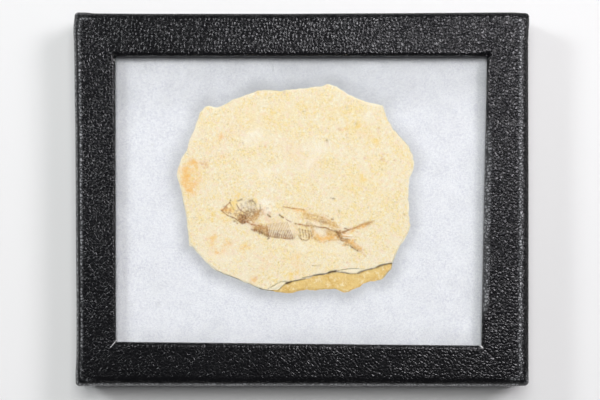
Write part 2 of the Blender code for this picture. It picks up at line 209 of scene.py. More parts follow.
class Outline:
    """A closed outline in plan, counter-clockwise, on which a place is a share of its length."""

    def __init__(self, corners: tuple[Point, ...]) -> None:
        """Measures the outline.

        Args:
            corners: Its corners in order.
        """
        points = np.asarray(corners, float)
        self.points = np.vstack((points, points[:1]))
        self.reached = np.concatenate(([0.0], np.cumsum(np.hypot(*np.diff(self.points, axis=0).T))))
        self.length = float(self.reached[-1])

    def at(self, share: Array) -> Array:
        """Places at shares of the outline's length, taken round again past 1: one X and Y a share."""
        travel = np.mod(share, 1.0) * self.length
        return np.stack([np.interp(travel, self.reached, self.points[:, axis]) for axis in (0, 1)], -1)

    def share_towards(self, centre: Point, target: Point) -> float:
        """Where a ray from the centre through the target leaves the outline.

        Args:
            centre: Where the ray starts.
            target: A point that it passes.

        Returns:
            The share of the outline's length.
        """
        shares = np.linspace(0.0, 1.0, RAY_STEPS + 1)[:-1]
        places = self.at(shares) - centre
        wanted = math.atan2(target[1] - centre[1], target[0] - centre[0])
        off = np.angle(np.exp(1j * (np.arctan2(places[:, 1], places[:, 0]) - wanted)))
        return float(shares[np.argmin(np.abs(off))])

    def distance(self, x: Array, y: Array) -> Array:
        """Distance to the outline, above 0 outside it and below 0 inside.

        A place is inside if a line from it towards +X crosses the outline an odd number of times.

        Args:
            x: Places along X.
            y: Places along Y.

        Returns:
            Signed distances.
        """
        best, _ = line_distance(x, y, tuple(map(tuple, self.points)))
        inside = np.zeros(x.shape, bool)
        for (start_x, start_y), (end_x, end_y) in zip(self.points, self.points[1:]):
            if start_y == end_y:
                continue
            crossing = start_x + (y - start_y) * (end_x - start_x) / (end_y - start_y)
            inside ^= ((start_y > y) != (end_y > y)) & (x < crossing)
        return np.where(inside, -best, best)


def grid_faces(rows: int, columns: int, wrap_columns: bool = False, wrap_rows: bool = False) -> Array:
    """Corner numbers of the quads of a grid whose points are counted row by row.

    Args:
        rows: Rows of points.
        columns: Points in a row.
        wrap_columns: Whether a row's last point joins its first.
        wrap_rows: Whether the last row joins the first.

    Returns:
        Four corner numbers a quad.
    """
    row = np.arange(rows if wrap_rows else rows - 1)[:, None]
    column = np.arange(columns if wrap_columns else columns - 1)[None, :]
    next_row, next_column = (row + 1) % rows, (column + 1) % columns
    corners = (
        row * columns + column, row * columns + next_column,
        next_row * columns + next_column, next_row * columns + column,
    )
    return np.stack(np.broadcast_arrays(*corners), -1).reshape(-1, 4)


def facing_out(points: Array, faces: list[Array]) -> list[Array]:
    """Turns a closed surface's faces round if they enclose a negative volume.

    The volume is the sum, over the triangles that fan out from each face's first corner, of a sixth
    of the triple product of their corners.

    Args:
        points: The surface's points.
        faces: Arrays of corner numbers, each with faces of one size.

    Returns:
        The faces, their fronts outwards.
    """
    volume = 0.0
    for group in faces:
        first, second, third = points[group[:, :1]], points[group[:, 1:-1]], points[group[:, 2:]]
        volume += float((first * np.cross(second, third)).sum()) / 6.0
    return faces if volume > 0.0 else [group[:, ::-1] for group in faces]


def add_piece(name: str, points: Array, faces: list[Array], finish: Material, crease: float = 180.0) -> Piece:
    """Writes a surface into a mesh in metres and puts it in the scene, riding on the one body.

    Args:
        name: The piece's name.
        points: Its points in millimetres.
        faces: Arrays of corner numbers, each with faces of one size.
        finish: Its material.
        crease: Edges that fold by more than this many degrees stay sharp.

    Returns:
        The piece.
    """
    mesh = bpy.data.meshes.new(name)
    corners = np.concatenate([group.ravel() for group in faces])
    sizes = np.concatenate([np.full(len(group), group.shape[1]) for group in faces])
    mesh.vertices.add(len(points))
    mesh.vertices.foreach_set("co", (points * MM).astype(np.float32).ravel())
    mesh.loops.add(len(corners))
    mesh.loops.foreach_set("vertex_index", corners.astype(np.int32))
    mesh.polygons.add(len(sizes))
    mesh.polygons.foreach_set("loop_start", (np.cumsum(sizes) - sizes).astype(np.int32))
    mesh.update(calc_edges=True)
    mesh.validate()
    mesh.shade_smooth()
    if crease < 180.0:
        mesh.set_sharp_from_angle(angle=math.radians(crease))
    mesh.materials.append(finish)
    piece = bpy.data.objects.new(name, mesh)
    bpy.context.scene.collection.objects.link(piece)
    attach(piece, "root")
    triangles = int((sizes - 2).sum())
    log.info("%s: %d points, %d triangles", name, len(points), triangles)
    return piece


def add_values(piece: Piece, name: str, values: Array) -> None:
    """Stores one number a point under a name, for a finish to read."""
    attribute = piece.data.attributes.new(name, "FLOAT", "POINT")
    attribute.data.foreach_set("value", values.astype(np.float32))


def add_colours(piece: Piece, name: str, values: Array) -> None:
    """Stores red, green, blue and alpha a point under a name, for a finish to read."""
    attribute = piece.data.attributes.new(name, "FLOAT_COLOR", "POINT")
    attribute.data.foreach_set("color", values.astype(np.float32).ravel())


class Graph:
    """Builds one material's nodes round its Principled shader."""

    def __init__(self, name: str) -> None:
        """Starts a material.

        Args:
            name: The material's name.
        """
        self.material = bpy.data.materials.new(name)
        self.material.use_nodes = True
        self.tree = self.material.node_tree
        self.shader = self.tree.nodes["Principled BSDF"]
        self.place = self.add("ShaderNodeTexCoord").outputs["Object"]

    def add(self, kind: str, inputs: dict | None = None, **settings: object) -> bpy.types.Node:
        """Adds a node.

        Args:
            kind: Blender's name of the node's type.
            inputs: Socket name or number to a value, or to another node's output.
            **settings: The node's own properties.

        Returns:
            The node.
        """
        node = self.tree.nodes.new(kind)
        for setting, value in settings.items():
            setattr(node, setting, value)
        for socket, value in (inputs or {}).items():
            self.put(node.inputs[socket], value)
        return node

    def put(self, socket: Socket, value: object) -> None:
        """Links an output to a socket, or sets the socket's own value.

        Args:
            socket: The input.
            value: An output, a number, a vector or a colour.
        """
        if isinstance(value, Socket):
            self.tree.links.new(value, socket)
        else:
            socket.default_value = value

    def set(self, **inputs: object) -> Material:
        """Sets the Principled shader's sockets, with an underscore for each space.

        Args:
            **inputs: Socket name to value or output.

        Returns:
            The material.
        """
        for name, value in inputs.items():
            self.put(self.shader.inputs[name.replace("_", " ")], value)
        return self.material

    def mapped(self, scale: tuple[float, float, float], turn: float = 0.0, move: float = 0.0) -> Socket:
        """Object coordinates scaled, turned about Z by degrees and moved by metres."""
        inputs = {"Scale": scale, "Rotation": (0.0, 0.0, math.radians(turn)), "Location": (move,) * 3}
        return self.add("ShaderNodeMapping", {"Vector": self.place, **inputs}).outputs["Vector"]

    def noise(self, size: float, detail: float = 3.0, where: object = None, rough: float = 0.5) -> Socket:
        """Fractal noise, about 0.5, whose largest features are about this many millimetres."""
        inputs = {"Vector": where or self.place, "Scale": 1.0 / (size * MM), "Detail": detail}
        return self.add("ShaderNodeTexNoise", {**inputs, "Roughness": rough}).outputs["Fac"]

    def stretch(
        self, value: object, low: float, high: float, to_low: float = 0.0, to_high: float = 1.0
    ) -> Socket:
        """Maps low..high to to_low..to_high and holds it there."""
        inputs = {"Value": value, "From Min": low, "From Max": high, "To Min": to_low, "To Max": to_high}
        return self.add("ShaderNodeMapRange", inputs).outputs["Result"]

    def math(self, operation: str, first: object, second: object = 0.0) -> Socket:
        """One sum, product or other operation, under Blender's name of it."""
        return self.add("ShaderNodeMath", {0: first, 1: second}, operation=operation).outputs["Value"]

    def times(self, first: object, second: object) -> Socket:
        """The product of two values."""
        return self.math("MULTIPLY", first, second)

    def mix(self, share: object, first: object, second: object) -> Socket:
        """Mixes two colours: a share of 0 is the first and 1 the second."""
        return self.add("ShaderNodeMix", {0: share, 6: first, 7: second}, data_type="RGBA").outputs[2]

    def bump(self, height: object, depth: float, strength: float = 1.0, under: object = None) -> Socket:
        """A bumped normal.

        Args:
            height: Height from 0 to 1.
            depth: What a height of 1 stands for, in millimetres.
            strength: Share of the effect.
            under: A normal that this one is added to.

        Returns:
            The normal.
        """
        inputs = {"Height": height, "Distance": depth * MM, "Strength": strength}
        if under is not None:
            inputs["Normal"] = under
        return self.add("ShaderNodeBump", inputs).outputs["Normal"]

    def attribute(self, name: str, output: str = "Fac") -> Socket:
        """One of the piece's attributes."""
        return self.add("ShaderNodeAttribute", attribute_name=name).outputs[output]


@dataclass(frozen=True)
class EmbossedPaper:
    """Black covering paper pressed with a leather grain, its pebble tops painted paler as glints and its
    edges carrying painted highlights and reflections, with real pale wear on the right lip.

    The grain is flat-topped pebbles: the distance to the nearest edge of scattered cells, cut off at
    a share of their size, so that every pebble has a steep side. Smooth noise creases their tops.
    """

    pebble: float = 1.0
    crease: float = 0.52
    depth: float = 0.27
    stir_size: float = 1.3
    stir_reach: float = 0.9
    roughness: float = 0.285
    ground: Colour = display(4, 4, 6)
    # Colour of the pebble tops, painted paler as glints.
    rubbed_and_painted_light: Colour = display(34, 34, 40)
    # Colour of the painted edge highlights and reflections, and of the lip's real wear.
    wear_and_highlight: Colour = display(142, 144, 146)
    core: Colour = display(226, 226, 226)

    def material(self) -> Material:
        """Builds the material. It reads three attributes: the painted glints and side light on the pebble
        tops, the painted edge highlights with the lip's wear, and the bare chips.

        Returns:
            The material.
        """
        graph = Graph("embossed_paper")
        bent = graph.add("ShaderNodeVectorMath", {0: graph.place}, operation="ADD")
        inputs = {"Vector": graph.place, "Scale": 1.0 / (self.stir_size * MM), "Detail": 1.0}
        stir = graph.add("ShaderNodeTexNoise", inputs)
        shift = graph.add("ShaderNodeVectorMath", {0: stir.outputs["Color"]}, operation="SCALE")
        shift.inputs["Scale"].default_value = self.stir_reach * MM
        graph.tree.links.new(shift.outputs["Vector"], bent.inputs[1])
        pebbles = graph.add(
            "ShaderNodeTexVoronoi",
            {"Vector": bent.outputs["Vector"], "Scale": 1.0 / (self.pebble * MM), "Randomness": 0.95},
            feature="DISTANCE_TO_EDGE",
        )
        domes = graph.stretch(pebbles.outputs["Distance"], 0.02, 0.30)
        creases = graph.noise(self.crease, 1.2)
        roll = graph.noise(3.2, 2.0)
        height = graph.math("ADD", graph.times(domes, 0.5), graph.times(creases, 0.55))
        # Painted highlights and reflections along the edges, and the lip's wear, lightened on the pebble
        # tops.
        wear_and_highlight = graph.times(graph.attribute("wear_and_highlight"), graph.stretch(height, 0.40, 0.72, 0.15, 1.3))
        # The pebble tops are painted paler as glints, by an attribute that holds painted light by side.
        tops = graph.stretch(height, 0.55, 0.86)
        colour = graph.mix(graph.times(tops, graph.attribute("rubbed_and_painted_light")), self.ground, self.rubbed_and_painted_light)
        colour = graph.mix(wear_and_highlight, colour, self.wear_and_highlight)
        colour = graph.mix(graph.attribute("bare"), colour, self.core)
        rough = graph.stretch(roll, 0.3, 0.7, self.roughness - 0.01, self.roughness + 0.04)
        pressed = graph.stretch(graph.attribute("rubbed_and_painted_light"), 0.15, 0.55, 0.6, 1.0)
        normal = graph.bump(roll, 0.10, 0.6, graph.bump(height, self.depth, pressed))
        return graph.set(Base_Color=colour, Roughness=rough, Specular_IOR_Level=0.48, Normal=normal)


@dataclass(frozen=True)
class PlainPaper:
    """Smooth black paper: dull fibres and faint rubbing."""

    ground: Colour = display(24, 24, 25)
    # Colour of real rubbing on this paper.
    rubbed_and_painted_light: Colour = display(46, 46, 48)

    def material(self) -> Material:
        """Builds the material.

        Returns:
            The material.
        """
        graph = Graph("plain_black_paper")
        fibres = graph.noise(0.35, 5.0, graph.mapped((1.0, 0.35, 1.0), 25.0), 0.7)
        rubs = graph.stretch(graph.noise(7.0, 5.0, rough=0.65), 0.52, 0.75)
        colour = graph.mix(graph.times(rubs, fibres), self.ground, self.rubbed_and_painted_light)
        rough = graph.stretch(fibres, 0.3, 0.7, 0.5, 0.7)
        return graph.set(Base_Color=colour, Roughness=rough, Normal=graph.bump(fibres, 0.03, 0.6))


@dataclass(frozen=True)
class Chipboard:
    """Grey-brown board pressed from waste paper, with flecks."""

    pulp: Colour = display(150, 136, 114)
    dark: Colour = display(112, 99, 82)
    fleck: Colour = display(70, 62, 54)

    def material(self) -> Material:
        """Builds the material.

        Returns:
            The material.
        """
        graph = Graph("chipboard")
        cloud = graph.noise(2.4, 5.0, rough=0.65)
        flecks = graph.stretch(graph.noise(0.5, 4.0, graph.mapped((1.0, 0.3, 1.0), 40.0)), 0.62, 0.7)
        colour = graph.mix(graph.stretch(cloud, 0.35, 0.65), self.pulp, self.dark)
        colour = graph.mix(flecks, colour, self.fleck)
        return graph.set(Base_Color=colour, Roughness=0.9, Normal=graph.bump(cloud, 0.08, 0.6))


@dataclass(frozen=True)
class GummedTape:
    """Brown gummed paper with long fibres."""

    kraft: Colour = display(176, 142, 98)
    fibre: Colour = display(150, 116, 76)

    def material(self) -> Material:
        """Builds the material.

        Returns:
            The material.
        """
        graph = Graph("gummed_tape")
        fibres = graph.noise(0.4, 5.0, graph.mapped((1.0, 0.2, 1.0), 10.0), 0.7)
        colour = graph.mix(graph.stretch(fibres, 0.35, 0.65), self.kraft, self.fibre)
        return graph.set(Base_Color=colour, Roughness=0.7, Normal=graph.bump(fibres, 0.04, 0.6))


@dataclass(frozen=True)
class PaneGlass:
    """Clear glass with the faintest green, a little uneven in tint."""

    clear: Colour = (0.985, 0.995, 0.99, 1.0)
    faint: Colour = (0.965, 0.985, 0.975, 1.0)

    def material(self) -> Material:
        """Builds the material.

        Returns:
            The material.
        """
        graph = Graph("pane_glass")
        tint = graph.mix(graph.noise(40.0, 2.0), self.clear, self.faint)
        return graph.set(Base_Color=tint, Roughness=0.0, Transmission_Weight=1.0, IOR=1.5)


@dataclass(frozen=True)
class BattingFibre:
    """Bleached polyester fibre: bluish white, speckled, with painted shade and a soft sheen.

    An attribute says where the shade is painted.
    """

    name: str = "batting"
    bright: Colour = display(243, 244, 246)
    thin: Colour = display(216, 217, 225)
    # Colour of the painted shade.
    painted_shade: Colour = display(151, 153, 155)
    bump_depth: float = 0.10

    def material(self) -> Material:
        """Builds the material.

        Returns:
            The material.
        """
        graph = Graph(self.name)
        fine = graph.noise(0.42, 4.0, graph.mapped((1.0, 0.6, 1.0), 62.0), 0.75)
        across = graph.noise(0.45, 4.0, graph.mapped((0.55, 1.0, 1.0), 18.0), 0.7)
        bunches = graph.noise(3.2, 3.0)
        mottle = graph.math("ADD", graph.times(fine, 0.5), graph.times(across, 0.5))
        thinned = graph.stretch(mottle, 0.43, 0.57, 1.0, 0.0)
        share = graph.times(thinned, graph.stretch(bunches, 0.3, 0.7, 0.5, 1.0))
        colour = graph.mix(share, self.bright, self.thin)
        # Painted shade, greyer where the attribute says.
        colour = graph.mix(graph.attribute("painted_shade"), colour, self.painted_shade)
        normal = graph.bump(mottle, self.bump_depth, 0.8)
        return graph.set(Base_Color=colour, Roughness=0.92, Normal=normal, Sheen_Weight=0.15)


@dataclass(frozen=True)
class Limestone:
    """Fine cream limestone, mottled yellow and pink, with ochre on the bed below and pale breaks.

    The piece's own marks are laid over it: their colour and cover are in the attribute marks, the
    ochre bed is in bed and a fresh break is in broken.
    """

    cream: Colour = display(244, 230, 198)
    straw: Colour = display(245, 223, 162)
    blush: Colour = display(246, 221, 197)
    chalk: Colour = display(250, 245, 225)
    olive: Colour = display(195, 178, 134)
    ochre: Colour = display(235, 204, 133)
    deep_ochre: Colour = display(220, 176, 95)
    bleached: Colour = display(244, 227, 183)
    broken: Colour = display(251, 242, 215)
    rust: Colour = display(201, 148, 82)
    crack: Colour = display(76, 46, 16)

    def material(self) -> Material:
        """Builds the material.

        Returns:
            The material.
        """
        graph = Graph("limestone")
        slow = graph.noise(4.2, 4.0, rough=0.65)
        fine = graph.noise(0.75, 4.0, graph.mapped(EVEN, 20.0, 0.013), 0.75)
        pinks = graph.noise(1.5, 5.0, graph.mapped(EVEN, 35.0, 0.031), 0.72)
        chalks = graph.noise(0.95, 5.0, graph.mapped(EVEN, 80.0, 0.077), 0.72)
        grain = graph.noise(0.42, 3.0, rough=0.75)
        patchy = graph.math("ADD", graph.times(slow, 0.4), graph.times(fine, 0.6))
        colour = graph.mix(graph.stretch(patchy, 0.47, 0.56), self.cream, self.straw)
        colour = graph.mix(graph.stretch(pinks, 0.50, 0.62, 0.0, 0.7), colour, self.blush)
        colour = graph.mix(graph.stretch(chalks, 0.50, 0.66, 0.0, 0.75), colour, self.chalk)
        specks = graph.times(graph.stretch(grain, 0.54, 0.68), graph.stretch(slow, 0.35, 0.65, 0.3, 0.95))
        colour = graph.mix(specks, colour, self.olive)
        patches = graph.stretch(graph.noise(2.6, 5.0, graph.mapped(EVEN, 15.0, 0.012), 0.65), 0.36, 0.62)
        bed = graph.mix(graph.times(patches, graph.stretch(fine, 0.42, 0.56)), self.ochre, self.deep_ochre)
        bed = graph.mix(graph.stretch(pinks, 0.52, 0.64, 0.0, 0.8), bed, self.bleached)
        bed = graph.mix(graph.stretch(grain, 0.56, 0.68, 0.0, 0.5), bed, self.rust)
        colour = graph.mix(graph.attribute("bed"), colour, bed)
        colour = graph.mix(graph.attribute("broken"), colour, self.broken)
        marks = graph.add("ShaderNodeAttribute", attribute_name="marks")
        cover = graph.times(marks.outputs["Alpha"], graph.stretch(grain, 0.36, 0.62, 0.55, 1.3))
        colour = graph.mix(cover, colour, marks.outputs["Color"])
        colour = graph.mix(graph.attribute("cracked"), colour, self.crack)
        rough = graph.stretch(grain, 0.3, 0.7, 0.78, 0.92)
        normal = graph.bump(graph.noise(0.9, 5.0, rough=0.6), 0.05, 0.7, graph.bump(grain, 0.02, 0.7))
        return graph.set(Base_Color=colour, Roughness=rough, Specular_IOR_Level=0.3, Normal=normal)


@dataclass(frozen=True)
class PaleTable:
    """The pale surface that the case lies on."""

    white: Colour = (0.84, 0.84, 0.83, 1.0)
    shade: Colour = (0.82, 0.825, 0.82, 1.0)

    def material(self) -> Material:
        """Builds the material.

        Returns:
            The material.
        """
        graph = Graph("pale_table")
        colour = graph.mix(graph.noise(60.0, 2.0), self.white, self.shade)
        return graph.set(Base_Color=colour, Roughness=0.75)


FINE_STEPS = 40


class Side(Enum):
    """The case's sides in order round it, each with the direction that it faces, in degrees."""

    FRONT = -90.0
    RIGHT = 0.0
    BACK = 90.0
    LEFT = 180.0


@dataclass(frozen=True)
class SideShape:
    """How the lid is shaped along one side.

    The paper turns from the wall to the flat top over three lengths: a steep one from 90 degrees to
    break_tilt, a slope from there to ease_tilt, and an ease down to level.

    Attributes:
        side: Which side.
        steep: Length of the steep turn.
        slope: Length of the slope.
        ease: Length of the ease.
        break_tilt: Tilt in degrees where the steep turn ends.
        ease_tilt: Tilt in degrees where the slope ends.
        bows: Pairs of place along the side and how far the edge stands out there.
        lips: Pairs of place along the side and the radius of the window's rolled lip there.
    """

    side: Side
    steep: float
    slope: float
    ease: float
    break_tilt: float
    ease_tilt: float
    bows: tuple[Point, ...]
    lips: tuple[Point, ...]

    def turn(self, points: int) -> tuple[Array, Array]:
        """The turn from the wall to the flat top.

        Each short step goes in by its length times the cosine of its tilt and up by the length times
        the sine, and the steps are added up.

        Args:
            points: How many points it gets.

        Returns:
            Inset from the wall and height from the flat top, from the wall up.
        """
        lengths = np.concatenate(([0.0], np.cumsum([self.steep, self.slope, self.ease])))
        fine = np.linspace(0.0, lengths[-1], FINE_STEPS * (points - 1) + 1)
        tilt = np.radians(np.interp(fine, lengths, [90.0, self.break_tilt, self.ease_tilt, 0.0]))
        middle = (tilt[1:] + tilt[:-1]) / 2.0
        inset = np.concatenate(([0.0], np.cumsum(np.cos(middle) * np.diff(fine))))
        height = np.concatenate(([0.0], np.cumsum(np.sin(middle) * np.diff(fine))))
        return inset[::FINE_STEPS], (height - height[-1])[::FINE_STEPS]


@dataclass
class DisplayLid:
    """The lid: folded board under embossed paper, with the glass behind its window.

    Both sheets are a path across the border, carried round the case. The path gives inset and height,
    and a place at an inset lies on the straight line from the outer edge to the window's edge.
    """

    half_width: float = 66.7
    half_depth: float = 54.8
    top: float = 19.0
    border: float = 12.5
    corner: float = 1.2
    window_corner: float = 0.35
    paper: float = 0.25
    board: float = 1.0
    rim: float = 0.5
    turned_in: float = 2.2
    rim_flap: float = 6.5
    window_foot: float = 16.8
    window_flap: float = 7.0
    board_set: float = 0.55
    board_fold: float = 2.3
    side_points: int = 186
    corner_points: int = 9
    wall_points: int = 12
    turn_points: int = 24
    fold_points: int = 5
    lip_points: int = 8
    under_points: int = 4
    board_fold_points: int = 9
    flat_points: int = 27
    corner_blend: float = 4.0
    window: tuple[Point, ...] = ((-54.9, -41.9), (52.8, -43.0), (54.5, 42.2), (-55.1, 42.2))
    sides: tuple[SideShape, ...] = (
        SideShape(
            Side.FRONT, 0.6, 1.1, 2.4, 64.0, 42.0,
            ((-66.0, 0.25), (-60.0, 0.2), (0.0, 0.25), (60.0, 0.3), (66.0, 0.3)),
            ((-55.0, 1.2), (55.0, 1.2)),
        ),
        SideShape(
            Side.RIGHT, 0.75, 0.9, 1.6, 43.0, 38.0,
            ((-54.0, 0.1), (5.0, 0.1), (20.0, 0.05), (30.0, 0.02), (47.0, 0.0), (54.0, 0.35)),
            ((-42.0, 0.8), (-37.0, 1.6), (18.0, 1.7), (30.0, 1.2), (38.0, 0.5)),
        ),
        SideShape(
            Side.BACK, 1.0, 0.6, 1.1, 50.0, 34.0,
            (
                (-66.0, 0.45), (-61.0, 0.2), (-45.0, 0.1), (-5.0, 0.1), (10.0, 0.2), (30.0, 0.3),
                (57.0, 0.5), (66.0, 0.5),
            ),
            ((-55.0, 1.3), (55.0, 1.3)),
        ),
        SideShape(
            Side.LEFT, 0.6, 1.2, 1.0, 62.0, 45.0,
            (
                (-54.0, 0.45), (-51.0, 0.25), (-47.0, 0.0), (-41.0, -0.05), (-29.0, -0.05), (-16.0, 0.1),
                (5.0, 0.2), (22.0, 0.3), (29.0, 0.5), (40.0, 0.6), (47.0, 0.77), (54.0, 1.1),
            ),
            ((-42.0, 1.0), (42.0, 1.0)),
        ),
    )
    # A pit's half width, its depth and its line.
    pits: tuple[tuple[float, float, tuple[Point, ...]], ...] = (
        (0.40, 1.30, ((53.2, 42.55), (54.9, 42.75))),
        (0.35, 1.20, ((-55.4, 42.1), (-54.9, 42.6))),
        (1.30, 0.16, ((56.3, -25.0), (56.6, -31.0), (56.2, -37.0))),
        (0.22, 0.14, ((52.8, -43.2), (57.6, -47.7))),
        (0.25, 0.12, ((53.6, -43.0), (60.0, -45.6))),
    )
    # How pale the right lip is painted, for its real wear and for a painted highlight where it faces the left
    # lamp, a row of the path each, from two rows before its roll.
    lip_wear_and_highlight: tuple[float, ...] = (0.0, 0.0, 0.35, 0.75, 0.95, 1.0, 1.0, 0.8, 0.5, 0.2)
    # A chip's half width, how bare it is and its line.
    chips: tuple[tuple[float, float, tuple[Point, ...]], ...] = (
        (0.11, 0.6, ((-54.3, 40.2), (-55.4, 41.3))),
        (0.11, 0.65, ((-56.2, -43.2), (-54.6, -41.3))),
        (0.22, 0.90, ((52.3, -42.9), (53.0, -43.4))),
    )

    def build(
        self,
        cover_finish: EmbossedPaper,
        board_finish: Chipboard,
        tape_finish: GummedTape,
        glass_finish: PaneGlass,
    ) -> None:
        """Builds the two sheets and gives the glass and the tapes their finishes.

        Args:
            cover_finish: The covering paper.
            board_finish: The board.
            tape_finish: The tape.
            glass_finish: The glass.
        """
        self._walk_round()
        self._build_cover(cover_finish.material())
        self._build_board(board_finish.material())
        tape = tape_finish.material()
        for side in ("left", "right", "front", "back"):
            refinish(f"glass_tape_{side}", tape)
        refinish("glass_pane", glass_finish.material())
        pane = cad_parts["glass_pane"]
        pane.visible_shadow = pane.visible_diffuse = False

    def _walk_round(self) -> None:
        """Places the outer edge and the window's edge, and the share of each side, round the case.

        A side is its middle plus a place along it; a corner is an arc about its own middle. Near a
        corner the two sides' shapes are mixed.
        """
        outer, inner, weights = [], [], []
        for number, shape in enumerate(self.sides):
            angle = math.radians(shape.side.value)
            outward = np.array([math.cos(angle), math.sin(angle)])
            along = np.array([-outward[1], outward[0]])
            reach, length = (self.half_depth, self.half_width)[:: 1 if number % 2 == 0 else -1]
            straight = length - self.corner
            place = np.linspace(-straight, straight, self.side_points)[:, None]
            outer.append(outward * reach + along * place)
            start, end = (self._window_corner(index % 4) for index in (number, number + 1))
            share = (place / straight + 1.0) / 2.0
            inner.append((start * (1.0 - share) + end * share) + outward * self.window_corner)
            mixed = np.zeros((self.side_points, 4))
            to_next = 0.5 * ramp(straight - place[:, 0], self.corner_blend, 0.0)
            to_last = 0.5 * ramp(straight + place[:, 0], self.corner_blend, 0.0)
            mixed[:, (number + 1) % 4] = to_next
            mixed[:, (number - 1) % 4] = to_last
            mixed[:, number] = 1.0 - to_next - to_last
            weights.append(mixed)
            steps = np.arange(1, self.corner_points + 1)[:, None]
            turn = angle + np.radians(90.0) * steps / (self.corner_points + 1)
            arc = np.concatenate((np.cos(turn), np.sin(turn)), 1)
            outer.append(outward * (reach - self.corner) + along * straight + arc * self.corner)
            inner.append(end + arc * self.window_corner)
            both = np.zeros((self.corner_points, 4))
            both[:, [number, (number + 1) % 4]] = 0.5
            weights.append(both)
        self._outer = np.concatenate(outer)
        self._inner = np.concatenate(inner)
        self._weights = np.concatenate(weights)
        self._direction = self._outward()
        along = [self._outer[:, number % 2] for number in range(len(self.sides))]
        self._bow = self._by_side([np.interp(place, *zip(*s.bows)) for place, s in zip(along, self.sides)])
        self._lip = self._by_side([np.interp(place, *zip(*s.lips)) for place, s in zip(along, self.sides)])

    def _window_corner(self, index: int) -> Array:
        """Middle of the arc at a window corner."""
        corner = np.array(self.window[index])
        return corner - np.sign(corner) * self.window_corner

    def _by_side(self, values: list[Array]) -> Array:
        """Values of the four sides, mixed by each point's share of a side."""
        return (np.stack(values, -1) * self._weights).sum(-1)

    def _outward(self) -> Array:
        """Outward direction at each point of the outer edge."""
        angles = [math.radians(shape.side.value) for shape in self.sides]
        return unit(self._weights @ np.array([[math.cos(angle), math.sin(angle)] for angle in angles]))

    def _plan(self, inset: Array, height: Array) -> Array:
        """Points in space for an inset and a height at each place round the case.

        The outer edge is moved out by its bow, which fades to half down the wall. A place then lies
        at the share inset / border of the way to the window's edge.

        Args:
            inset: Insets, one row a step of the path and one column a place round.
            height: Heights in the same layout.

        Returns:
            X, Y and Z a point.
        """
        fade = 0.5 + 0.5 * np.clip(height / self.top, 0.0, 1.0)
        edge = self._outer + (self._bow * fade)[..., None] * self._direction
        share = (inset / self.border)[..., None]
        plan = edge * (1.0 - share) + self._inner * share
        return lifted(plan, height)

    def _sheet(self, inset: Array, height: Array, thickness: float, every: int) -> tuple[Array, list[Array]]:
        """Closes a path into a sheet with a thickness.

        The back of the sheet is the path moved by the thickness to the right of its direction, with
        one point for every few of the front's. Front and back make one loop, which is carried round.

        Args:
            inset: Insets of the front, a row a step.
            height: Heights of the front.
            thickness: The sheet's thickness.
            every: The back has one point for this many of the front's.

        Returns:
            The points, a row a step, and the faces.
        """
        run, climb = np.gradient(inset, axis=0), np.gradient(height, axis=0)
        length = np.hypot(run, climb)
        picked = np.unique(np.concatenate((np.arange(0, len(inset), every), [len(inset) - 1])))[::-1]
        back_inset = (inset + thickness * climb / length)[picked]
        back_height = (height - thickness * run / length)[picked]
        all_inset, all_height = np.concatenate((inset, back_inset)), np.concatenate((height, back_height))
        points = self._plan(all_inset, all_height)
        faces = [grid_faces(points.shape[0], points.shape[1], wrap_columns=True, wrap_rows=True)]
        return points, faces

    def _cover_path(self) -> tuple[Array, Array, int]:
        """The cover's path across the border: flap, rim, wall, turn, flat top, lip and second flap.

        Every fold is a quarter circle, inset and height following its cosine and sine.

        Returns:
            Insets and heights, a row a step, and the row where the window's lip begins to roll.
        """
        count = len(self._outer)
        ones = np.ones(count)
        shape = (self.turn_points, count)
        turn_inset, turn_height = (
            self._by_side([np.broadcast_to(side[:, None], shape) for side in values])
            for values in zip(*(side.turn(self.turn_points) for side in self.sides))
        )
        turn_height = turn_height + self.top
        fold = self.paper + 0.1
        quarter = quarter_turn(self.fold_points)
        rim_in = (self.turned_in - fold * (1.0 - np.cos(quarter))) * ones
        rim_low = (self.rim + fold * (1.0 - np.sin(quarter))) * ones
        rim_out = fold * (1.0 - np.sin(quarter)) * ones
        rim_rise = (self.rim + fold * (1.0 - np.cos(quarter))) * ones
        climb = np.linspace(0.06, 0.96, self.wall_points)[:, None] ** 0.8
        wall_height = rim_rise[-1] + (turn_height[0] - rim_rise[-1]) * climb
        start, lip = turn_inset[-1], self._lip
        flat = np.linspace(0.0, 1.0, self.flat_points)[1:-1, None]
        flat_inset = start + (self.border - lip - start) * flat
        roll = quarter_turn(self.lip_points)
        lip_inset = self.border - lip + lip * np.sin(roll)
        lip_height = self.top - np.minimum(lip, 1.5) * (1.0 - np.cos(roll))
        drop = np.array([0.3, 0.7])[:, None]
        post_height = lip_height[-1] + (self.window_foot + fold - lip_height[-1]) * drop
        under = quarter_turn(self.under_points)
        under_inset = (self.border - fold * (1.0 - np.cos(under))) * ones
        under_height = (self.window_foot + fold * (1.0 - np.sin(under))) * ones
        flap = (self.border - fold - np.array([1.5, 4.0, self.window_flap])[:, None]) * ones
        rim_flap = np.array([self.rim + self.rim_flap, self.rim + 2.5])[:, None] * ones
        steps = (
            (self.turned_in * np.ones((2, count)), rim_flap),
            (rim_in, rim_low),
            (rim_out, rim_rise),
            (np.zeros(wall_height.shape), wall_height),
            (turn_inset, turn_height),
            (flat_inset, self.top * np.ones(flat_inset.shape)),
            (lip_inset, lip_height),
            (self.border * np.ones((2, count)), post_height),
            (under_inset, under_height),
            (flap, self.window_foot * np.ones(flap.shape)),
        )
        insets, heights = zip(*steps)
        return np.concatenate(insets), np.concatenate(heights), sum(map(len, insets[:6]))

